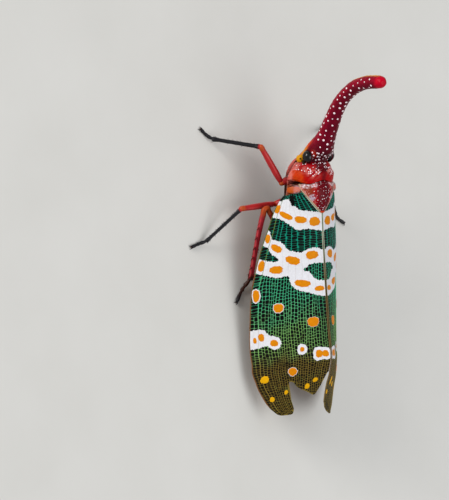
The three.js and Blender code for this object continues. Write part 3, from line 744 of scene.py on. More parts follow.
def add_patch(mesh, side, outline, hole, colour, lift, seed=1):
    """A thin coloured layer over the wing, within an outline and outside a hole."""
    loops = [on_wing(rounded(outline, seed))]
    if hole:
        loops.append(on_wing(rounded(hole, seed + 5)))

    def within(s, y):
        covered = inside(s, y, loops[0])
        return covered & ~inside(s, y, loops[1]) if hole else covered

    edges, start = [], 0
    for loop in loops:
        n = len(loop)
        edges += [(start + i, start + (i + 1) % n) for i in range(n)]
        start += n
    ring = np.vstack(loops)
    low, high = ring[:, 1].min(), ring[:, 1].max()
    gs, gy = np.meshgrid(np.arange(0.2, 12.5, PATCH_GRID), np.arange(low, high, PATCH_GRID))
    inner = within(gs, gy)
    fill = np.stack([gs[inner], gy[inner]], -1)
    clear = np.min(np.hypot(*(fill[:, None] - ring[None]).transpose(2, 0, 1)), axis=1) > 0.1
    points = np.vstack([ring, fill[clear]])
    verts, _, faces, *_ = delaunay_2d_cdt([Vector(p) for p in points], edges, [], 0, 1e-5)
    flat = np.array([(v.x, v.y) for v in verts])
    faces = np.array(faces)
    keep = within(*flat[faces].mean(1).T)
    pts = roof(side, *flat.T, lift)
    tint = shaded(np.broadcast_to(colour, pts.shape), pts, 0.05, 0.3, 18)
    mesh.lay(pts, faces[keep], (side, 0, 2), tint)
    for loop in loops:
        closed = np.vstack([loop, loop[:1]])
        strip = np.stack([roof(side, *closed.T, h) for h in (lift, PATCH_DEPTH)])
        mesh.add(strip, grid_faces(2, len(closed)), colour)


def white_runs(k, fraction, top, end):
    """Stretches of a small vein that lie on white."""
    y = np.arange(top, end, -0.05)
    on = is_white(wing_s(small_v(k, fraction, y), y), y)
    change = np.flatnonzero(np.diff(np.concatenate([[0], on.astype(int), [0]])))
    return [(y[a], y[b - 1]) for a, b in zip(change[::2], change[1::2]) if b - a > 6]


def forewing(side, name):
    mesh = Mesh()
    tail = TAILS[side]
    add_shell(mesh, side, MEMBRANE_TOP, -MEMBRANE, *MEMBRANE_GRID)
    add_cells(mesh, side)
    white = [(FIRST_BAND, None), (BROAD_BAND, GREEN_ISLAND), (COSTAL_BLOB, None)]
    for seed, (outline, hole) in enumerate(white):
        add_patch(mesh, side, outline, hole, WHITE, WHITE_LIFT, seed)
    for patch in BLACK_PATCHES:
        add_patch(mesh, side, patch, None, CELL_BLACK, WHITE_LIFT + 0.02)

    def tint(s, y):
        return np.where(is_white(s, y)[..., None], VEIN_PALE, vein_colour(s, y))

    def strong_tint(s, y):
        return layer(tint(s, y), (STRONG_VEIN, smooth(-12, -7, y)))

    def faint_tint(s, y):
        return np.broadcast_to(mix(VEIN_PALE, WHITE, 0.5), (len(y), 3))

    for k, v in enumerate(MAIN_VEINS[1:-1], 1):
        strong = v == MAIN_VEINS[-2]
        start, end = float(wing_root(v)) - 0.1, float(tail(v)) + 0.1
        radius = STRONG_RADIUS if strong else VEIN_RADII[k % 2]
        colour_of = strong_tint if strong else tint
        add_vein(mesh, side, lambda y, k=k: main_v(k, y), start, end, radius, colour_of)
    for k in range(len(MAIN_VEINS) - 1):
        for start, end in white_runs(k, 0.5, 1.7, -22):
            add_vein(mesh, side, lambda y, k=k: small_v(k, 0.5, y), start, end, FAINT_RADIUS,
                     faint_tint, WHITE_LIFT)
    add_vein(mesh, side, lambda y: 0.004 + 0 * y, 2.5, float(tail(0.02)) + 0.1, RIDGE_RADIUS,
             lambda s, y: blend(RIDGE_PALE, RIDGE_BROWN, smooth(-1, -12, y)), 0.01)
    add_vein(mesh, side, lambda y: 0.996 + 0 * y, 1.6, float(tail(0.995)) + 0.1, EDGE_RADIUS,
             lambda s, y: blend(EDGE_GREEN, RIM, smooth(-4, -9, y)))
    for spot in SPOTS:
        if spot[-1]:
            add_spot(mesh, side, spot, WHITE, WHITE_LIFT, grow=spot[-1], dome=0.005)
    for spot in SPOTS:
        add_spot(mesh, side, spot, ORANGE, WHITE_LIFT + 0.01)
    for spot in YELLOW_SPOTS + (RIGHT_SPOTS if side > 0 else []):
        add_spot(mesh, side, spot, SPOT_YELLOW, WHITE_LIFT)
    mesh.build(f"wing_{name}", WING, "wing_green", [f"forewing_{name}"])


# Hindwings, folded beneath
hind_arc = curve([[0.4, 4.2], [-4, 5.6], [-10, 7.4], [-18, 8], [-22, 6.4], [-24.2, 3.4]])
hind_tail = curve([[0, -23], [0.5, -24.2], [1, -21.5]])
hind_inner = curve([[0.4, 2.1], [-2, 0.7], [-24, 0.5]])
HIND_LIFT = -1.05
PLEATS = 11


def hindwing(side, name):
    mesh = Mesh()
    columns, rows = 133, 80
    v = np.linspace(0, 1, columns)[:, None]
    y = mix(0.2, hind_tail(v), np.linspace(0, 1, rows)[None, :])
    vv = np.broadcast_to(v, y.shape)
    s = hind_inner(y) + vv * (hind_arc(y) - hind_inner(y))
    wave = np.cos(2 * np.pi * PLEATS * vv)
    upper = roof(side, s, y, HIND_LIFT + 0.07 + 0.06 * wave)
    lower = roof(side, s, y, HIND_LIFT - 0.07 + 0.06 * wave)
    colour = blend(HIND_YELLOW, HIND_DARK, smooth(-15.5, -17.2, y + 0.9 * noise(upper, 2.2, 5)))
    # Painted shade: darker in the troughs of the pleats, lighter on their crests.
    colour = colour * (0.84 + 0.16 * wave)[..., None]
    # The underside is a darker copy of the top: painted shade.
    add_sheet(mesh, side, upper, lower, colour, colour * 0.9)
    mesh.build(f"hindwing_skin_{name}", WING, "wing_yellow", [f"hindwing_{name}"])


# Body
def body_rings(stations, rows, sides):
    """Rings of points over the stations, with their distance along and the angle round.

    A station is y, z, half-width, height above, depth below, lean in degrees, squareness above and below.
    """
    st = np.asarray(stations, float)
    gap = np.linalg.norm(np.diff(st[:, :2], axis=0), axis=1)
    t = np.concatenate([[0], np.cumsum(gap)])
    q = np.linspace(0, t[-1], rows)
    y, z, half, up, down, tilt, up_pow, down_pow = [curve(list(zip(t, col)))(q)[:, None] for col in st.T]
    a = circle(sides)
    c, d = np.cos(a)[None, :], np.sin(a)[None, :]
    power = 2 / np.where(d >= 0, up_pow, down_pow)
    x = squared(c, power) * half
    h = squared(d, power) * np.where(d >= 0, up, down)
    lean = np.radians(tilt)
    return np.stack([x, y - h * np.sin(lean), z + h * np.cos(lean)], -1), q, a


def ring_normals(rings):
    """Outward normals of closed rings."""
    n = unit(np.cross((np.roll(rings, -1, 1) - np.roll(rings, 1, 1)) / 2, np.gradient(rings, axis=0)))
    out = np.sum(n * (rings - rings.mean(1, keepdims=True)), -1, keepdims=True)
    return n * np.where(out < 0, -1, 1)


def add_dot(mesh, at, normal, radius, height):
    """A small raised dot of wax."""
    normal = unit(normal)
    across = unit(np.cross(normal, [0.3, 0.9, 0.2]))
    other = np.cross(normal, across)
    n, rows = 10, 4
    a = circle(n)
    t = np.linspace(0, 1, rows)[:, None] * np.pi / 2
    r, h = radius * np.cos(t), radius * height * np.sin(t)
    pts = (np.asarray(at) - normal * 0.02 + (r * np.cos(a))[..., None] * across
           + (r * np.sin(a))[..., None] * other + h[..., None] * normal)
    mesh.lay(pts, grid_faces(rows, n, True), normal, WAX)


def scatter(rings, normals, density, count, gap, rng):
    """Places on a skin, no closer than gap, more of them where density is high."""
    chance = np.clip(density, 0, 1).ravel()
    flat, face = rings.reshape(-1, 3), normals.reshape(-1, 3)
    picks = rng.choice(len(flat), size=count * 12, p=chance / chance.sum())
    kept, places = np.zeros((0, 3)), []
    for i in picks:
        if len(kept) == 0 or np.min(np.linalg.norm(kept - flat[i], axis=1)) > gap:
            kept = np.vstack([kept, flat[i]])
            places.append((flat[i], face[i]))
            if len(places) == count:
                break
    return places


def along_tube(colour, rings):
    """A colour for each ring spread round it."""
    return np.broadcast_to(colour[:, None], rings.shape)


def shaded(colour, points, amount, scale, seed):
    """The colour made uneven over the points."""
    return np.clip(colour * (1 + amount * noise(points, scale, seed))[..., None], 0, 1)


# Head, as stations, and snout
HEAD = [
    [6.8, 9.5, 2.0, 2.1, 2.1, 0, 2.6, 1.8], [7.35, 9.7, 2.2, 2.3, 2.3, 0, 2.6, 1.8],
    [7.95, 10.25, 2.2, 2.4, 2.3, 5, 2.6, 1.8], [8.7, 11.25, 2.1, 2.15, 2.2, 18, 2.5, 1.8],
    [9.4, 12.1, 1.85, 1.85, 1.95, 30, 2.2, 2], [10.1, 12.78, 1.6, 1.6, 1.62, 37, 2, 2],
]
# The snout's y, z, radius and lean
SNOUT = [
    [11.34, 13.73, 1.33, 36], [12.98, 14.85, 1.21, 36], [15.2, 16.6, 1.1, 45], [16.75, 18.6, 1.03, 58],
    [17.82, 21.1, 1.02, 73], [18.12, 23.4, 1.0, 86], [18.06, 24.9, 0.99, 92], [17.98, 25.9, 0.93, 93],
    [17.94, 26.4, 0.74, 93], [17.92, 26.62, 0.48, 93], [17.92, 26.7, 0.24, 93],
]
EYE_AT, EYE_RADII = np.array([2.2, 7.98, 11.25]), np.array([0.75, 0.9, 0.8])
BULB_AT, BULB_RADII = np.array([2.25, 7.8, 9.7]), np.array([0.6, 0.58, 0.6])
BROW_AT = np.array([1.55, 8.4, 12])
HORN_PATH = np.array([[2.1, 7.35, 10.4], [2.5, 7.15, 10.5], [2.75, 7.1, 10.75]])
STEM_PATH = np.array([[1.6, 8.0, 9.9], [1.9, 8.02, 9.8], [2.2, 8.05, 9.7]])
BRISTLE = np.array([0.68, -0.05, 0.73])


def head_and_snout():
    mesh = Mesh()
    stations = HEAD + [[y, z, r, r, r, lean, 2, 2] for y, z, r, lean in SNOUT]
    rings, q, a = body_rings(stations, 330, 84)
    n = ring_normals(rings)
    shape = rings.shape[:2]
    up, along = np.broadcast_to(np.sin(a)[None, :], shape), np.broadcast_to(q[:, None], shape)
    end = q[-1]
    aside = np.abs(np.cos(a))[None, :]
    keel = 0.09 * bell(up, -0.05, 0.1) * smooth(1.2, 2.2, along) * (1 - smooth(9, 16, along))
    middle = 0.05 * bell(aside, 0, 0.09) * np.where(up > 0, 1, 0.8) * (1 - smooth(6, 10, along))
    face = -0.1 * bell(aside, 0.45, 0.2) * (up < 0) * smooth(1, 2, along) * (1 - smooth(4, 7, along))
    crown = -0.1 * bell(aside, 0.4, 0.22) * (up > 0) * smooth(0.3, 1.2, along) * (1 - smooth(3, 5, along))
    pits = 0.03 * noise(rings, 0.32, 2)
    rings = rings + n * (keel + middle + face + crown + pits)[..., None]
    n = ring_normals(rings)
    brow = np.linalg.norm(np.where(rings < 0, [-1, 1, 1], 1) * rings - BROW_AT, axis=-1)
    colour = layer(
        blend(MAROON, CRIMSON, smooth(2.5, 6, along)),
        (SNOUT_RED, 0.85 * smooth(0.55, -0.25, up) * smooth(2, 5, along)),
        (EYE_SIDE, 0.85 * smooth(0.85, 0.3, brow)),
        (ORANGE_RED, smooth(-0.2, -0.55, up) * (1 - smooth(3.4, 5.0, along))),
        (CHEEK, smooth(-0.2, -0.5, up) * (1 - smooth(2.4, 3.6, along))),
        (CHEEK, 0.9 * smooth(-0.82, -0.97, up) * smooth(13, 16, along)),
        # Red tip, the snout's own colour; it starts further out on the lower side, which is painted shade.
        (RED_TIP, smooth(end - 1.7, end - 0.7, along + 0.25 * up)),
    )
    add_tube(mesh, rings, shaded(colour, rings, 0.16, 0.7, 4))
    rng = np.random.default_rng(3)
    body = smooth(0.4, 1.2, along) * (1 - 0.85 * smooth(end - 5, end - 3, along)) * (along < end - 2)
    dotted = body * smooth(-0.6, -0.1, up) * (1 - (up < 0.25) * (along < 5))
    for at, normal in scatter(rings, n, dotted, 175, 0.72, rng):
        add_dot(mesh, at, normal, 0.11 + 0.09 * rng.random(), 0.4)
    crowned = (up > 0.5) * smooth(3.4, 1.5, along) * (along > 0.5)
    for at, normal in scatter(rings, n, crowned, 20, 0.55, rng):
        add_dot(mesh, at, normal, 0.09 + 0.06 * rng.random(), 0.5)
    for side, _ in SIDES:
        flip = np.array([side, 1, 1])
        angle = circle(40)
        ring = EYE_AT + np.stack([0 * angle - 0.12, 0.96 * np.cos(angle), 0.82 * np.sin(angle)], -1)
        path = np.vstack([ring, ring[:1]]) * flip
        add_tube(mesh, tube_rings(path, np.full(len(path), 0.1), 10, (side, 0, 0)), MAROON, (False, False))
        add_tube(mesh, tube_rings(spline(HORN_PATH * flip, 10), np.linspace(0.34, 0.12, 10), 12), HORN)
    mesh.build("head_skin", CUTICLE, "head_crimson", ["head", "snout"])


def eyes_and_antennae():
    for side, name in SIDES:
        flip = np.array([side, 1, 1])
        mesh = Mesh()
        add_ball(mesh, EYE_AT * flip, EYE_RADII,
                 lambda d: blend(EYE_BLACK, EYE_BROWN, smooth(0.2, 0.9, noise(d, 0.5, 6))), 64, 96, axis=0)
        mesh.build(f"eye_lens_{name}", EYE, "eye_dark", [f"eye_{name}"])
        mesh = Mesh()
        add_ball(mesh, BULB_AT * flip, BULB_RADII, BULB, 48, 72, axis=0, bumps=0.09)
        add_tube(mesh, tube_rings(spline(STEM_PATH * flip, 10), np.full(10, 0.4), 20), CHEEK)
        root, tip = (BULB_AT + 0.52 * BRISTLE) * flip, (BULB_AT + 1.58 * BRISTLE) * flip
        add_ball(mesh, root, [0.17] * 3, LEG_BLACK, 16, 20)
        add_spine(mesh, root, tip, 0.08, LEG_BLACK, 8, 14, (0, 0.03, 0))
        mesh.build(f"feeler_{name}", CUTICLE, "antenna_orange", [f"antenna_{name}"])


# Pronotum and the fore breast under it
PRONOTUM = [
    [7.3, 8.8, 2.2, 2.75, 2.0, 0, 2.6, 1.4], [7.1, 8.8, 2.5, 2.97, 2.3, 0, 2.6, 1.3],
    [6.2, 8.55, 3.2, 3.45, 2.35, 0, 2.6, 1.3], [5.2, 8.3, 3.55, 3.8, 3, 0, 2.5, 1.35],
    [4.3, 8.2, 3.6, 3.72, 3.15, 0, 2.35, 1.35], [3.98, 8.2, 3.58, 3.66, 3.18, 0, 2.3, 1.35],
    [3.92, 8.2, 3.45, 3.5, 3.05, 0, 2.3, 1.35],
]
PRONOTUM_REAR = 3.92
pronotum_rear = curve([[0, 0.4], [2.3, 0], [2.9, 0.25], [3.6, 0.85]])
band_depth = curve([[0, 1.3], [0.7, 1.15], [1.6, 0.95], [2.2, 1.15], [2.9, 1.55], [3.4, 1.75]])


def prothorax():
    mesh = Mesh()
    rings, _, _ = body_rings(PRONOTUM, 110, 200)
    ax, y, z = np.abs(rings[..., 0]), rings[..., 1], rings[..., 2]
    rings[..., 1] += pronotum_rear(ax) * np.clip((5.2 - y) / 1.3, 0, 1)
    n = ring_normals(rings)
    behind = rings[..., 1] - (PRONOTUM_REAR + pronotum_rear(ax))
    before = behind - band_depth(ax)
    top = smooth(8.6, 9.8, z)
    band = smooth(0.2, -0.2, before) * (0.3 + 0.7 * smooth(0.1, 0.7, ax)) * smooth(8.0, 9.0, z)
    swell = 0.14 * band * smooth(0, 0.5, behind)
    keel = 0.12 * bell(ax, 0, 0.14) * top * smooth(0.2, 0.7, behind)
    hollow = -0.16 * np.exp(-((ax - 0.95) / 0.42) ** 2 - ((behind - 2.1) / 0.4) ** 2) * top
    side_keel = 0.12 * np.exp(-((z - 9.3 - 0.25 * (behind - 1)) / 0.14) ** 2) * (ax > 2)
    seam = -0.12 * bell(z, 6.6, 0.1)
    lip = 0.06 * bell(behind, 0.14, 0.1) * smooth(7, 8, z)
    rough = 0.02 * noise(rings, 0.25, 12) * (1 - 0.7 * band)
    rings = rings + n * (swell + keel + hollow + side_keel + seam + lip + rough)[..., None]
    n = ring_normals(rings)
    patchy, speckled = noise(rings, 0.55, 14), noise(rings, 0.2, 16)
    orange = smooth(11.2, 10.3, z - 0.2 * patchy) * (0.75 + 0.2 * speckled)
    orange = orange + 0.3 * smooth(0.5, 1.1, speckled)
    waxy = bell(before, 0.45, 0.55) * smooth(0.45, 0.9, ax) * smooth(3.1, 2.4, ax) * top
    dark = smooth(1.5, 0.8, ax + 0.15 * patchy) * smooth(0.3, 1.5, behind)
    colour = layer(
        np.broadcast_to(SHIELD_RED, rings.shape),
        (MAROON, 0.9 * dark * top),
        (SHIELD_DARK, smooth(0.75, 0.45, ax) * top),
        (BAND_RED, band),
        (BAND_ORANGE, 0.9 * band * orange),
        (PINK_WAX, 0.75 * band * smooth(9.4, 8.7, z + 0.2 * patchy)),
        (PINK_WAX, (0.5 + 0.4 * patchy) * smooth(10.4, 9.2, z) * (1 - band)),
        (PINK_WAX, 0.8 * waxy * smooth(-0.35, 0.35, patchy)),
        (DARK_BROWN, smooth(6.9, 6.3, z)),
    )
    add_tube(mesh, rings, shaded(colour, rings, 0.14, 0.4, 15))
    rng = np.random.default_rng(21)
    wax = (1 - band) * top * (before > 0.05) * (rings[..., 1] < 7.0) * (0.07 + waxy)
    for at, normal in scatter(rings, n, wax, 92, 0.28, rng):
        add_dot(mesh, at, normal, 0.06 + 0.09 * rng.random() ** 1.5, 0.3)
    mesh.build("pronotum_skin", CUTICLE, "shield_orange_red", ["prothorax"])


# Mesonotum, the shield between the wings
SHIELD_FRONT, SHIELD_DEPTH = 3.75, 1.1
shield_front = curve([[0, 0.35], [2.3, 0], [3.6, 0.2]])


def mesonotum():
    mesh = Mesh()
    rows, across = 110, 121
    c = np.linspace(-1, 1, across)[None, :]
    y0 = np.linspace(SHIELD_FRONT + 0.1, APEX_Y, rows)[:, None]
    half = np.broadcast_to(shield_half(y0), (rows, across))
    ax = np.abs(c) * half
    y = y0 + shield_front(ax) * np.clip((y0 - 3) / 0.6, 0, 1)
    side = np.where(c < 0, -1, 1)
    edge = (1 - np.abs(c)) * half
    ahead = SHIELD_FRONT - y0
    keels = 0.1 * bell(ax, 0, 0.11) + 0.09 * np.exp(-((ax - 0.28 * half - 0.35) / 0.12) ** 2) * (half > 1)
    lift = 0.12 + 0.38 * (1 - c * c) * np.minimum(1, half / 1.5) * (1 - 0.6 * smooth(2.7, 3.8, y0))
    lift = lift + keels * np.minimum(1, half / 1.2) * (1 - 0.5 * smooth(3, 3.8, y0))
    lift = lift + 0.06 * bell(edge, 0, 0.12)
    top = roof(side, ax, y, lift)
    top += 0.02 * noise(top, 0.28, 22)[..., None] * np.array([0, 0, 1])
    low = roof(side, ax * 0.86, y, 0.0)
    low[..., 2] -= SHIELD_DEPTH * np.minimum(1, 0.35 + half / 2)
    rings = np.concatenate([top, low[:, ::-1]], 1)
    patchy, crumbly = noise(top, 0.6, 23), noise(top, 0.24, 27)
    streaky = noise(np.stack([ax - 0.9 * y, 0.35 * (ax + y), 0 * y], -1), 0.22, 24)
    away = np.hypot((ax - 1.75) / 0.55, (y - 1.9) / 0.45)
    outer = smooth(0.8, 1.3, ax)
    tip = smooth(0.95, 0.6, half) * smooth(0.3, 0.45, half)
    colour = layer(
        np.broadcast_to(MESO_ORANGE, top.shape),
        (SHIELD_RED, smooth(2.2, 1.2, ax)),
        (MESO_DARK, smooth(1.5, 0.5, ax - 0.12 * patchy)),
        (PINK_WAX, 0.6 * smooth(0.2, 0.7, streaky) * smooth(1.0, 1.5, ax)),
        (GREY_WAX, 0.9 * smooth(1.3, 0.7, away) * smooth(-0.3, 0.2, streaky + 0.5 * patchy)),
        (WAX, smooth(0.55, 0.2, ahead + 0.25 * patchy) * outer * (0.2 + 0.6 * smooth(-0.1, 0.35, crumbly))),
        (GREY_WAX, 0.7 * smooth(0.6, 0.3, ahead) * outer * smooth(0.3, 0.8, crumbly)),
        (PINK_WAX, 0.7 * smooth(-0.1, 0.5, patchy) * tip),
        (RIM_PALE, smooth(0.15, 0.06, edge) * smooth(0.1, 0.6, half)),
        (ORANGE_RED, smooth(0.42, 0.3, half)),
    )
    colour = shaded(colour, top, 0.1, 0.5, 26)
    # The shield's underside is its top colour darkened: painted shade.
    add_tube(mesh, rings, np.concatenate([colour, colour[:, ::-1] * 0.6], 1))
    rng = np.random.default_rng(31)
    n = ring_normals(rings)
    weight = np.zeros(rings.shape[:2])
    weight[:, :across] = (0.35 + 0.65 * smooth(1.5, 0.9, ax)) * (edge > 0.15) * (half > 0.5)
    for at, normal in scatter(rings, n, weight, 105, 0.27, rng):
        add_dot(mesh, at, normal if normal[2] > 0 else -normal, 0.045 + 0.045 * rng.random(), 0.4)
    mesh.build("shield_skin", CUTICLE, "shield_brown", ["mesonotum"])


# Thorax and abdomen
THORAX = [
    [4.15, 7.3, 2.7, 1.8, 2.3, 0, 2, 1.6], [3.5, 7.3, 2.9, 1.9, 2.5, 0, 2, 1.5],
    [2, 7.1, 3, 1.95, 2.7, 0, 2, 1.5], [0, 6.8, 2.9, 2, 2.8, 0, 2, 1.5],
    [-3, 6.2, 2.9, 1.9, 2.5, 0, 2, 1.7],
]
ABDOMEN = [
    [-2.4, 6.1, 2.7, 1.8, 2.2, 0, 2, 2], [-5, 5.8, 3.1, 2, 2.6, 0, 2, 2],
    [-8.5, 5.5, 3.1, 2, 2.6, 0, 2, 2], [-12, 5.2, 2.7, 1.9, 2.3, 0, 2, 2],
    [-15, 4.9, 2, 1.6, 1.7, 0, 2, 2], [-17, 4.7, 1.3, 1.2, 1.2, 0, 2, 2],
    [-17.8, 4.6, 0.6, 0.6, 0.6, 0, 2, 2],
]
ABDOMEN_START = -2.4
SEGMENTS = 6
SEGMENT = 2.15


def thorax_and_abdomen():
    mesh = Mesh()
    rings, _, _ = body_rings(THORAX, 90, 96)
    n = ring_normals(rings)
    y = rings[..., 1]
    seams = -0.12 * sum(bell(y, at, 0.12) for at in (1.9, -0.4, -2.2))
    rings = rings + n * (seams + 0.04 * noise(rings, 0.6, 41))[..., None]
    fleck = noise(rings * [1, 1, 0.4], 0.35, 45)
    colour = layer(
        np.broadcast_to(DARK_BROWN, rings.shape),
        (BREAST_BROWN, 0.5 + 0.6 * noise(rings, 1.3, 42)),
        (PINK_WAX, 0.5 * smooth(0.2, 0.7, noise(rings, 0.5, 43))),
        (PINK_WAX, 0.5 * smooth(-0.1, 0.5, fleck) * smooth(1.6, 2.6, y) * smooth(7.2, 8.2, rings[..., 2])),
    )
    add_tube(mesh, rings, shaded(colour, rings, 0.15, 0.5, 44))
    mesh.build("breast_skin", CUTICLE, "underside_brown", ["thorax"])

    mesh = Mesh()
    rings, _, _ = body_rings(ABDOMEN, 220, 84)
    n = ring_normals(rings)
    y = rings[..., 1]
    within = ((ABDOMEN_START - y) / SEGMENT) % 1
    plate = 0.09 * within - 0.05 + 0.05 * bell(within, 0.96, 0.04)
    flank = rings[..., 2] - 5.6 + 0.06 * (ABDOMEN_START - y)
    fold = -0.14 * bell(flank, 0, 0.16) * (np.abs(rings[..., 0]) > 1)
    fade = smooth(-17.6, -16.8, y)
    rings = rings + n * ((plate + fold) * fade + 0.02 * noise(rings, 0.5, 51))[..., None]
    colour = layer(
        blend(BUFF, BUFF_DARK, smooth(0.5, 1.0, within)),
        (DARK_BROWN, smooth(0.86, 0.97, within)),
        (WAX, 0.5 * smooth(0.15, 0.7, noise(rings, 0.7, 52)) * (rings[..., 2] < 5.4)),
        (DARK_BROWN, smooth(-16.4, -17.4, y)),
    )
    add_tube(mesh, rings, shaded(colour, rings, 0.12, 0.4, 53))
    for k in range(SEGMENTS):
        row = np.argmin(np.abs(rings[:, 0, 1] - (ABDOMEN_START - 1.2 - SEGMENT * k)))
        for column in (rings.shape[1] // 2 - 4, 4):
            add_ball(mesh, rings[row, column], [0.12, 0.2, 0.14], DARK_BROWN, 10, 14)
    mesh.build("abdomen_skin", CUTICLE, "abdomen_buff", ["abdomen"])


# Beak
FACE_PATH = [[0, 8.95, 10.1], [0, 8.4, 8.7], [0, 7.85, 7.4], [0, 7.3, 6.3]]
BEAK_PATH = [[0, 7.9, 7.4], [0, 7.2, 5.8], [0, 6.2, 4.7], [0, 5, 4.15], [0, 3, 3.65], [0, -1.5, 3.15],
             [0, -5.75, 2.6]]
BEAK_JOINTS = (0.2, 0.55, 0.93)


def beak():
    mesh = Mesh()
    t = np.linspace(0, 1, 40)
    rings = tube_rings(spline(FACE_PATH, 40), mix(0.95, 0.4, t ** 0.8), 28, (1, 0, 0), keel=0.05, keels=8)
    colour = along_tube(blend(FACE_PINK, DARK_BROWN, smooth(0.55, 0.95, t)), rings)
    add_tube(mesh, rings, shaded(colour, rings, 0.2, 0.5, 61))
    t = np.linspace(0, 1, 160)
    joints = sum(bell(t, at, 0.008) for at in BEAK_JOINTS)
    radius = mix(0.42, 0.24, t) * (1 - 0.22 * joints) * (1 - 0.7 * smooth(0.97, 1, t))
    rings = tube_rings(spline(BEAK_PATH, 160), radius, 20, (1, 0, 0), keel=0.06, keels=4)
    brown = blend(DARK_BROWN, LEG_BLACK, smooth(0.3, 0.9, t))
    add_tube(mesh, rings, layer(brown, (FACE_PINK, smooth(0.3, 0.17, t))))
    mesh.build("beak_skin", CUTICLE, "underside_brown", ["rostrum"])


# Tegulae: how far out along the roof, how far forward, and half-sizes out, along and up
TEGULA_OUT, TEGULA_Y, TEGULA_HALF = 4.5, 3.3, (1.0, 0.64, 0.4)


def tegulae():
    """Scales over the wing roots: tucked under the shield, waxy there, dark at front and rear."""
    for side, name in SIDES:
        mesh, ball = Mesh(), Mesh()
        add_ball(ball, [0, 0, 0], [1, 1, 1], SCALE_ORANGE, 32, 40, bumps=0.08)
        d, faces = ball.verts[0], ball.faces[0]
        out, along, lift = (squared(d, 0.85) * TEGULA_HALF).T
        scale = roof(side, TEGULA_OUT + out, TEGULA_Y + along, lift)
        patchy = noise(d, 0.4, 62)
        waxy = blend(PINK_WAX, GREY_WAX, smooth(-0.3, 0.4, noise(d, 0.25, 63)))
        colour = layer(
            blend(SCALE_ORANGE, DARK_BROWN, smooth(0.45, 0.85, np.abs(d[:, 1]) + 0.25 * patchy)),
            (waxy, 0.55 * smooth(0.1, -0.4, d[:, 0] + 0.3 * patchy)),
        )
        mesh.lay(scale, faces, scale[faces[:, 0]] - scale.mean(0), colour)
        mesh.build(f"wing_scale_{name}", CUTICLE, "shield_orange_red", [f"tegula_{name}"])


# Legs: each as one skin from the hip to the claws
LEGS = {
    "fore_left": dict(side=-1, hip=(1.3, 4.9, 6.5), troch=(2.95, 4.45, 5.95), knee=(6.5, 10, 6),
                      ankle=(11.3, 11.8, 0.75), toe=(12.95, 13.3, 0.28)),
    "mid_left": dict(side=-1, hip=(1.2, 1.6, 5.2), troch=(2.65, 1.45, 3.9), knee=(9.4, 1.15, 3.7),
                     ankle=(14.3, -3.2, 0.75), toe=(16.8, -3.85, 0.28)),
    "hind_left": dict(side=-1, hip=(0.9, -1.4, 5.2), troch=(2.05, -2.85, 4.1), knee=(5.1, 0.35, 5.05),
                      ankle=(6.3, -9.3, 1.05), toe=(8.75, -12.5, 0.28),
                      bend=[(5.5, 0.85, 5.15), (5.95, 0.75, 5.0), (6.05, 0.1, 4.75)]),
}
LEGS["fore_right"] = {**LEGS["fore_left"], "side": 1}
LEGS["mid_right"] = {**LEGS["mid_left"], "side": 1, "knee": (8.6, 4.6, 3.4), "ankle": (12.3, -0.9, 0.75),
                     "toe": (14.35, -2.2, 0.28)}
LEGS["hind_right"] = {**LEGS["hind_left"], "side": 1}
femur_radius = curve([[0, 0.3], [0.1, 0.42], [0.3, 0.48], [0.6, 0.46], [0.9, 0.4], [0.97, 0.42], [1, 0.34]])
tibia_radius = curve([[0, 0.34], [0.06, 0.36], [0.14, 0.29], [0.85, 0.27], [0.97, 0.34], [1, 0.3]])
hind_tibia_radius = curve([[0, 0.36], [0.1, 0.42], [0.6, 0.36], [0.9, 0.38], [0.97, 0.46], [1, 0.4]])
tarsus_radius = curve([[0, 0.16], [0.05, 0.2], [0.3, 0.29], [0.33, 0.17], [0.36, 0.19], [0.52, 0.28],
                       [0.55, 0.16], [0.6, 0.19], [0.9, 0.27], [1, 0.2]])
LEG_SIDES = 24
LEG_KEELS = dict(keels=4, phase=0.4)
HAIRS = 46
HAIR_FLOOR = [-99, -99, 0.02]
TIBIA_SPINES = 6


def keel_highlight(colour, start, along):
    """A pink painted highlight on a leg's keels, from a start on their flanks and by an amount for each
    ring.
    """
    keel = np.cos(LEG_KEELS["keels"] * (circle(LEG_SIDES) + LEG_KEELS["phase"]))
    return layer(colour, (KEEL_HIGHLIGHT, 0.5 * smooth(start, 0.95, keel)[None, :] * along[:, None]))


def add_hip(mesh, hip, troch):
    t = np.linspace(0, 1, 30)
    path = spline([hip, mix(hip, troch, 0.5) + [0, 0.08, 0], troch], 30)
    radius = mix(0.85, 0.42, t ** 0.8) * (1 - 0.2 * smooth(0.94, 1, t))
    rings = tube_rings(path, radius, LEG_SIDES, keel=0.03, keels=5)
    tint = along_tube(blend(DARK_BROWN, LEG_RED, smooth(0.3, 0.8, t)), rings)
    add_tube(mesh, rings, shaded(tint, rings, 0.2, 0.5, 71))
    add_ball(mesh, troch, [0.42] * 3, LEG_ORANGE, 18, 24)


def add_femur(mesh, troch, knee):
    t = np.linspace(0, 1, 90)
    rings = tube_rings(spline([troch, knee], 90), femur_radius(t), LEG_SIDES, keel=0.05, **LEG_KEELS)
    ends = np.maximum(smooth(0.08, 0.0, t), smooth(0.88, 0.97, t))
    tint = along_tube(blend(LEG_RED, LEG_ORANGE, ends), rings)
    # Pink painted highlight along the femur's keels.
    tint = keel_highlight(tint, 0.3, smooth(0.1, 0.2, t) * smooth(0.9, 0.8, t))
    add_tube(mesh, rings, shaded(tint, rings, 0.12, 0.6, 72))
    add_ball(mesh, knee, [0.4] * 3, LEG_ORANGE, 18, 24)


def tibia_colour(t, rings, hind):
    """Crimson with a pink painted highlight on the hind shin's keels, black on the others, orange at the
    knee.
    """
    if not hind:
        tint = blend(LEG_ORANGE, LEG_RED, smooth(0.0, 0.03, t))
        return along_tube(layer(tint, (LEG_BLACK, smooth(0.035, 0.08, t))), rings)
    tint = layer(blend(LEG_ORANGE, LEG_CRIMSON, smooth(0.12, 0.22, t)), (DARK_BROWN, smooth(0.88, 0.98, t)))
    return keel_highlight(along_tube(tint, rings), 0.4, smooth(0.15, 0.25, t))


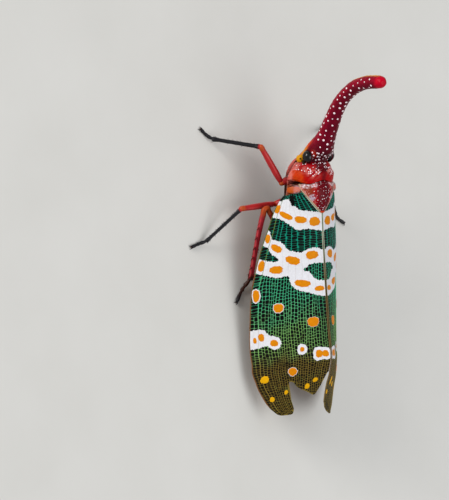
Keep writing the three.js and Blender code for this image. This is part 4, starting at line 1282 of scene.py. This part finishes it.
def add_tibia(mesh, knee, ankle, bend, hind, rng):
    """The shin with its fine hairs; the points of its path are returned."""
    count = int(np.linalg.norm(ankle - knee) * 22)
    t = np.linspace(0, 1, count)
    path = spline([knee, *bend, ankle], count)
    radius = hind_tibia_radius(t) if hind else tibia_radius(t)
    rings = tube_rings(path, radius, LEG_SIDES, keel=0.09, **LEG_KEELS)
    add_tube(mesh, rings, shaded(tibia_colour(t, rings, hind), rings, 0.14, 0.5, 73))
    n = ring_normals(rings)
    for _ in range(HAIRS // 2 if hind else HAIRS):
        i, j = rng.integers(int(0.12 * count), count - 2), rng.integers(LEG_SIDES)
        along = unit(path[min(i + 1, count - 1)] - path[i - 1])
        tip = rings[i, j] + unit(n[i, j] + 1.1 * along) * (0.2 + 0.1 * rng.random())
        tint = DARK_BROWN if hind else LEG_BLACK
        add_spine(mesh, rings[i, j], np.maximum(tip, HAIR_FLOOR), 0.018, tint, 5, 4)
    return path


def add_spines(mesh, side, path):
    """The row of strong spines along the outer side of a hind shin."""
    shade = blend(LEG_CRIMSON, DARK_BROWN, np.linspace(0, 1, 9))
    for k in range(TIBIA_SPINES):
        i = int(len(path) * mix(0.32, 0.96, k / (TIBIA_SPINES - 1)))
        root = path[i] + np.array([side, 0, 0]) * 0.2
        add_spine(mesh, root, root + [side * 0.72, -0.5, 0.08], 0.17, shade, 10, 9, (0, -0.05, 0.05))


def add_spurs(mesh, ankle, along, hind):
    """The crown of short spurs round the end of the shin."""
    count, out, length, radius = (7, 0.32, 0.42, 0.1) if hind else (5, 0.22, 0.25, 0.06)
    across = unit(np.cross([0, 0, 1], along))
    rise = unit(np.cross(along, across))
    for k in range(count):
        turn = 2 * np.pi * k / count
        outward = across * np.cos(turn) + rise * np.sin(turn)
        root = ankle + outward * out - along * 0.12
        tip = root + along * length + outward * 0.1
        add_spine(mesh, root, np.maximum(tip, HAIR_FLOOR), radius, LEG_BLACK, 7, 5)


def add_foot(mesh, ankle, toe, hind):
    """The tarsus with its pads' spines, and two claws with a lobe between them."""
    t = np.linspace(0, 1, 90)
    middle = mix(ankle, toe, 0.45)
    middle[2] = 0.3
    path = spline([ankle, middle, toe], 90)
    rings = tube_rings(path, tarsus_radius(t) * (1.15 if hind else 1), 20, flat=0.9, floor=0.0)
    add_tube(mesh, rings, blend(DARK_BROWN, LEG_BLACK, smooth(0.4, 1, t)) if hind else LEG_BLACK)
    along = unit((toe - middle) * [1, 1, 0])
    across = np.cross([0, 0, 1], along)
    for end in (0.3, 0.52):
        for k in (-1.0, -0.35, 0.35, 1.0):
            pad = path[int(end * 90)] + across * 0.2 * k
            tip = pad + along * 0.24 + across * 0.05 * k + [0, 0, -0.05]
            add_spine(mesh, pad - along * 0.05, tip, 0.06, LEG_BLACK, 6, 4)
    for k in (-1, 1):
        root = toe + across * 0.1 * k - along * 0.08
        tip = toe + along * 0.42 + across * 0.28 * k
        tip[2] = 0.06
        add_spine(mesh, root, tip, 0.11, LEG_BLACK, 8, 9, (0, 0, 0.14))
    add_ball(mesh, toe + along * 0.12 + [0, 0, -0.06], [0.17, 0.17, 0.12], DARK_BROWN, 12, 16)


def leg(name, side, hip, troch, knee, ankle, toe, bend=()):
    mesh = Mesh()
    flip = np.array([side, 1, 1])
    points = (hip, troch, knee, ankle, toe, *bend)
    hip, troch, knee, ankle, toe, *bend = (np.array(p) * flip for p in points)
    hind = bool(bend)
    rng = np.random.default_rng(sum(map(ord, name)))
    add_hip(mesh, hip, troch)
    add_femur(mesh, troch, knee)
    path = add_tibia(mesh, knee, ankle, bend, hind, rng)
    if hind:
        add_spines(mesh, side, path)
    add_spurs(mesh, ankle, unit(ankle - path[-12]), hind)
    add_foot(mesh, ankle, toe, hind)
    nodes = [f"{part}_{name}" for part in ("coxa", "femur", "tibia", "tarsus")]
    mesh.build(f"leg_skin_{name}", LEG, "leg_crimson" if hind else "leg_black", nodes)


# Camera, floor and light
THETA, ROLL = math.radians(43), math.radians(4.9)
PICTURE_HEIGHT, DISTANCE = 74.0, 2500.0
SENSOR = 36
AIM = (-7.37, -4.72, 8.5)
FLOOR_HALF = 1.5
FLOOR_DARK, FLOOR_PALE = (0.60, 0.59, 0.555, 1), (0.68, 0.67, 0.64, 1)
SKY, SKY_STRENGTH = (0.93, 0.96, 1, 1), 0.5


def make_camera():
    """It looks down on the left flank; AIM is along the picture's right, the insect and the view."""
    right = np.array([math.cos(THETA), 0, math.sin(THETA)])
    ahead = np.array([0.0, 1.0, 0.0])
    back = np.array([-math.sin(THETA), 0, math.cos(THETA)])
    across = right * math.cos(ROLL) - ahead * math.sin(ROLL)
    up = ahead * math.cos(ROLL) + right * math.sin(ROLL)
    place = (right * AIM[0] + ahead * AIM[1] + back * (AIM[2] + DISTANCE)) / 1000 + OFFSET
    cam = bpy.data.objects.new("camera", bpy.data.cameras.new("camera"))
    bpy.context.scene.collection.objects.link(cam)
    cam.matrix_world = Matrix([[across[i], up[i], back[i], place[i]] for i in range(3)] + [[0, 0, 0, 1]])
    cam.data.sensor_width = SENSOR
    cam.data.lens = SENSOR * DISTANCE / PICTURE_HEIGHT
    cam.data.clip_start, cam.data.clip_end = 0.01, 10
    bpy.context.scene.camera = cam
    return across, up, back


def make_light(name, at, size, power, warmth=(1, 1, 1)):
    light = bpy.data.objects.new(name, bpy.data.lights.new(name, "AREA"))
    light.data.size, light.data.energy, light.data.color = size, power, warmth
    light.location = Vector(at)
    light.rotation_mode = "QUATERNION"
    light.rotation_quaternion = (-Vector(at)).to_track_quat("-Z", "Y")
    bpy.context.scene.collection.objects.link(light)


def make_floor():
    me = bpy.data.meshes.new("floor")
    w = FLOOR_HALF
    me.from_pydata([(-w, -w, 0), (w, -w, 0), (w, w, 0), (-w, w, 0)], [], [(0, 1, 2, 3)])
    floor = bpy.data.objects.new("floor", me)
    bpy.context.scene.collection.objects.link(floor)
    mat, tree, shader = new_material("floor")
    set_inputs(shader, Roughness=0.85)
    coords = add_node(tree, "TexCoord")
    cloud = add_node(tree, "TexNoise", Scale=60, Detail=5)
    ramp = add_node(tree, "ValToRGB")
    for stop, tint in zip(ramp.color_ramp.elements, (FLOOR_DARK, FLOOR_PALE)):
        stop.color = tint
    tree.links.new(coords.outputs["Object"], cloud.inputs["Vector"])
    tree.links.new(cloud.outputs["Fac"], ramp.inputs["Fac"])
    tree.links.new(ramp.outputs["Color"], shader.inputs["Base Color"])
    me.materials.append(mat)


def make_stage(across, up, back):
    make_floor()
    world = bpy.data.worlds.new("sky")
    bpy.context.scene.world = world
    world.use_nodes = True
    set_inputs(world.node_tree.nodes["Background"], Color=SKY, Strength=SKY_STRENGTH)
    make_light("key", (-0.35 * across + 0.35 * up + 0.5 * back), 0.3, 3.9, (1, 0.97, 0.93))
    make_light("fill", (0.45 * across - 0.1 * up + 0.3 * back), 0.4, 1.5)
    bpy.context.scene.view_settings.view_transform = "Standard"


make_stage(*make_camera())
for wing_side, wing_name in SIDES:
    forewing(wing_side, wing_name)
    hindwing(wing_side, wing_name)
head_and_snout()
eyes_and_antennae()
prothorax()
mesonotum()
thorax_and_abdomen()
beak()
tegulae()
for leg_name, shape in LEGS.items():
    leg(leg_name, **shape)
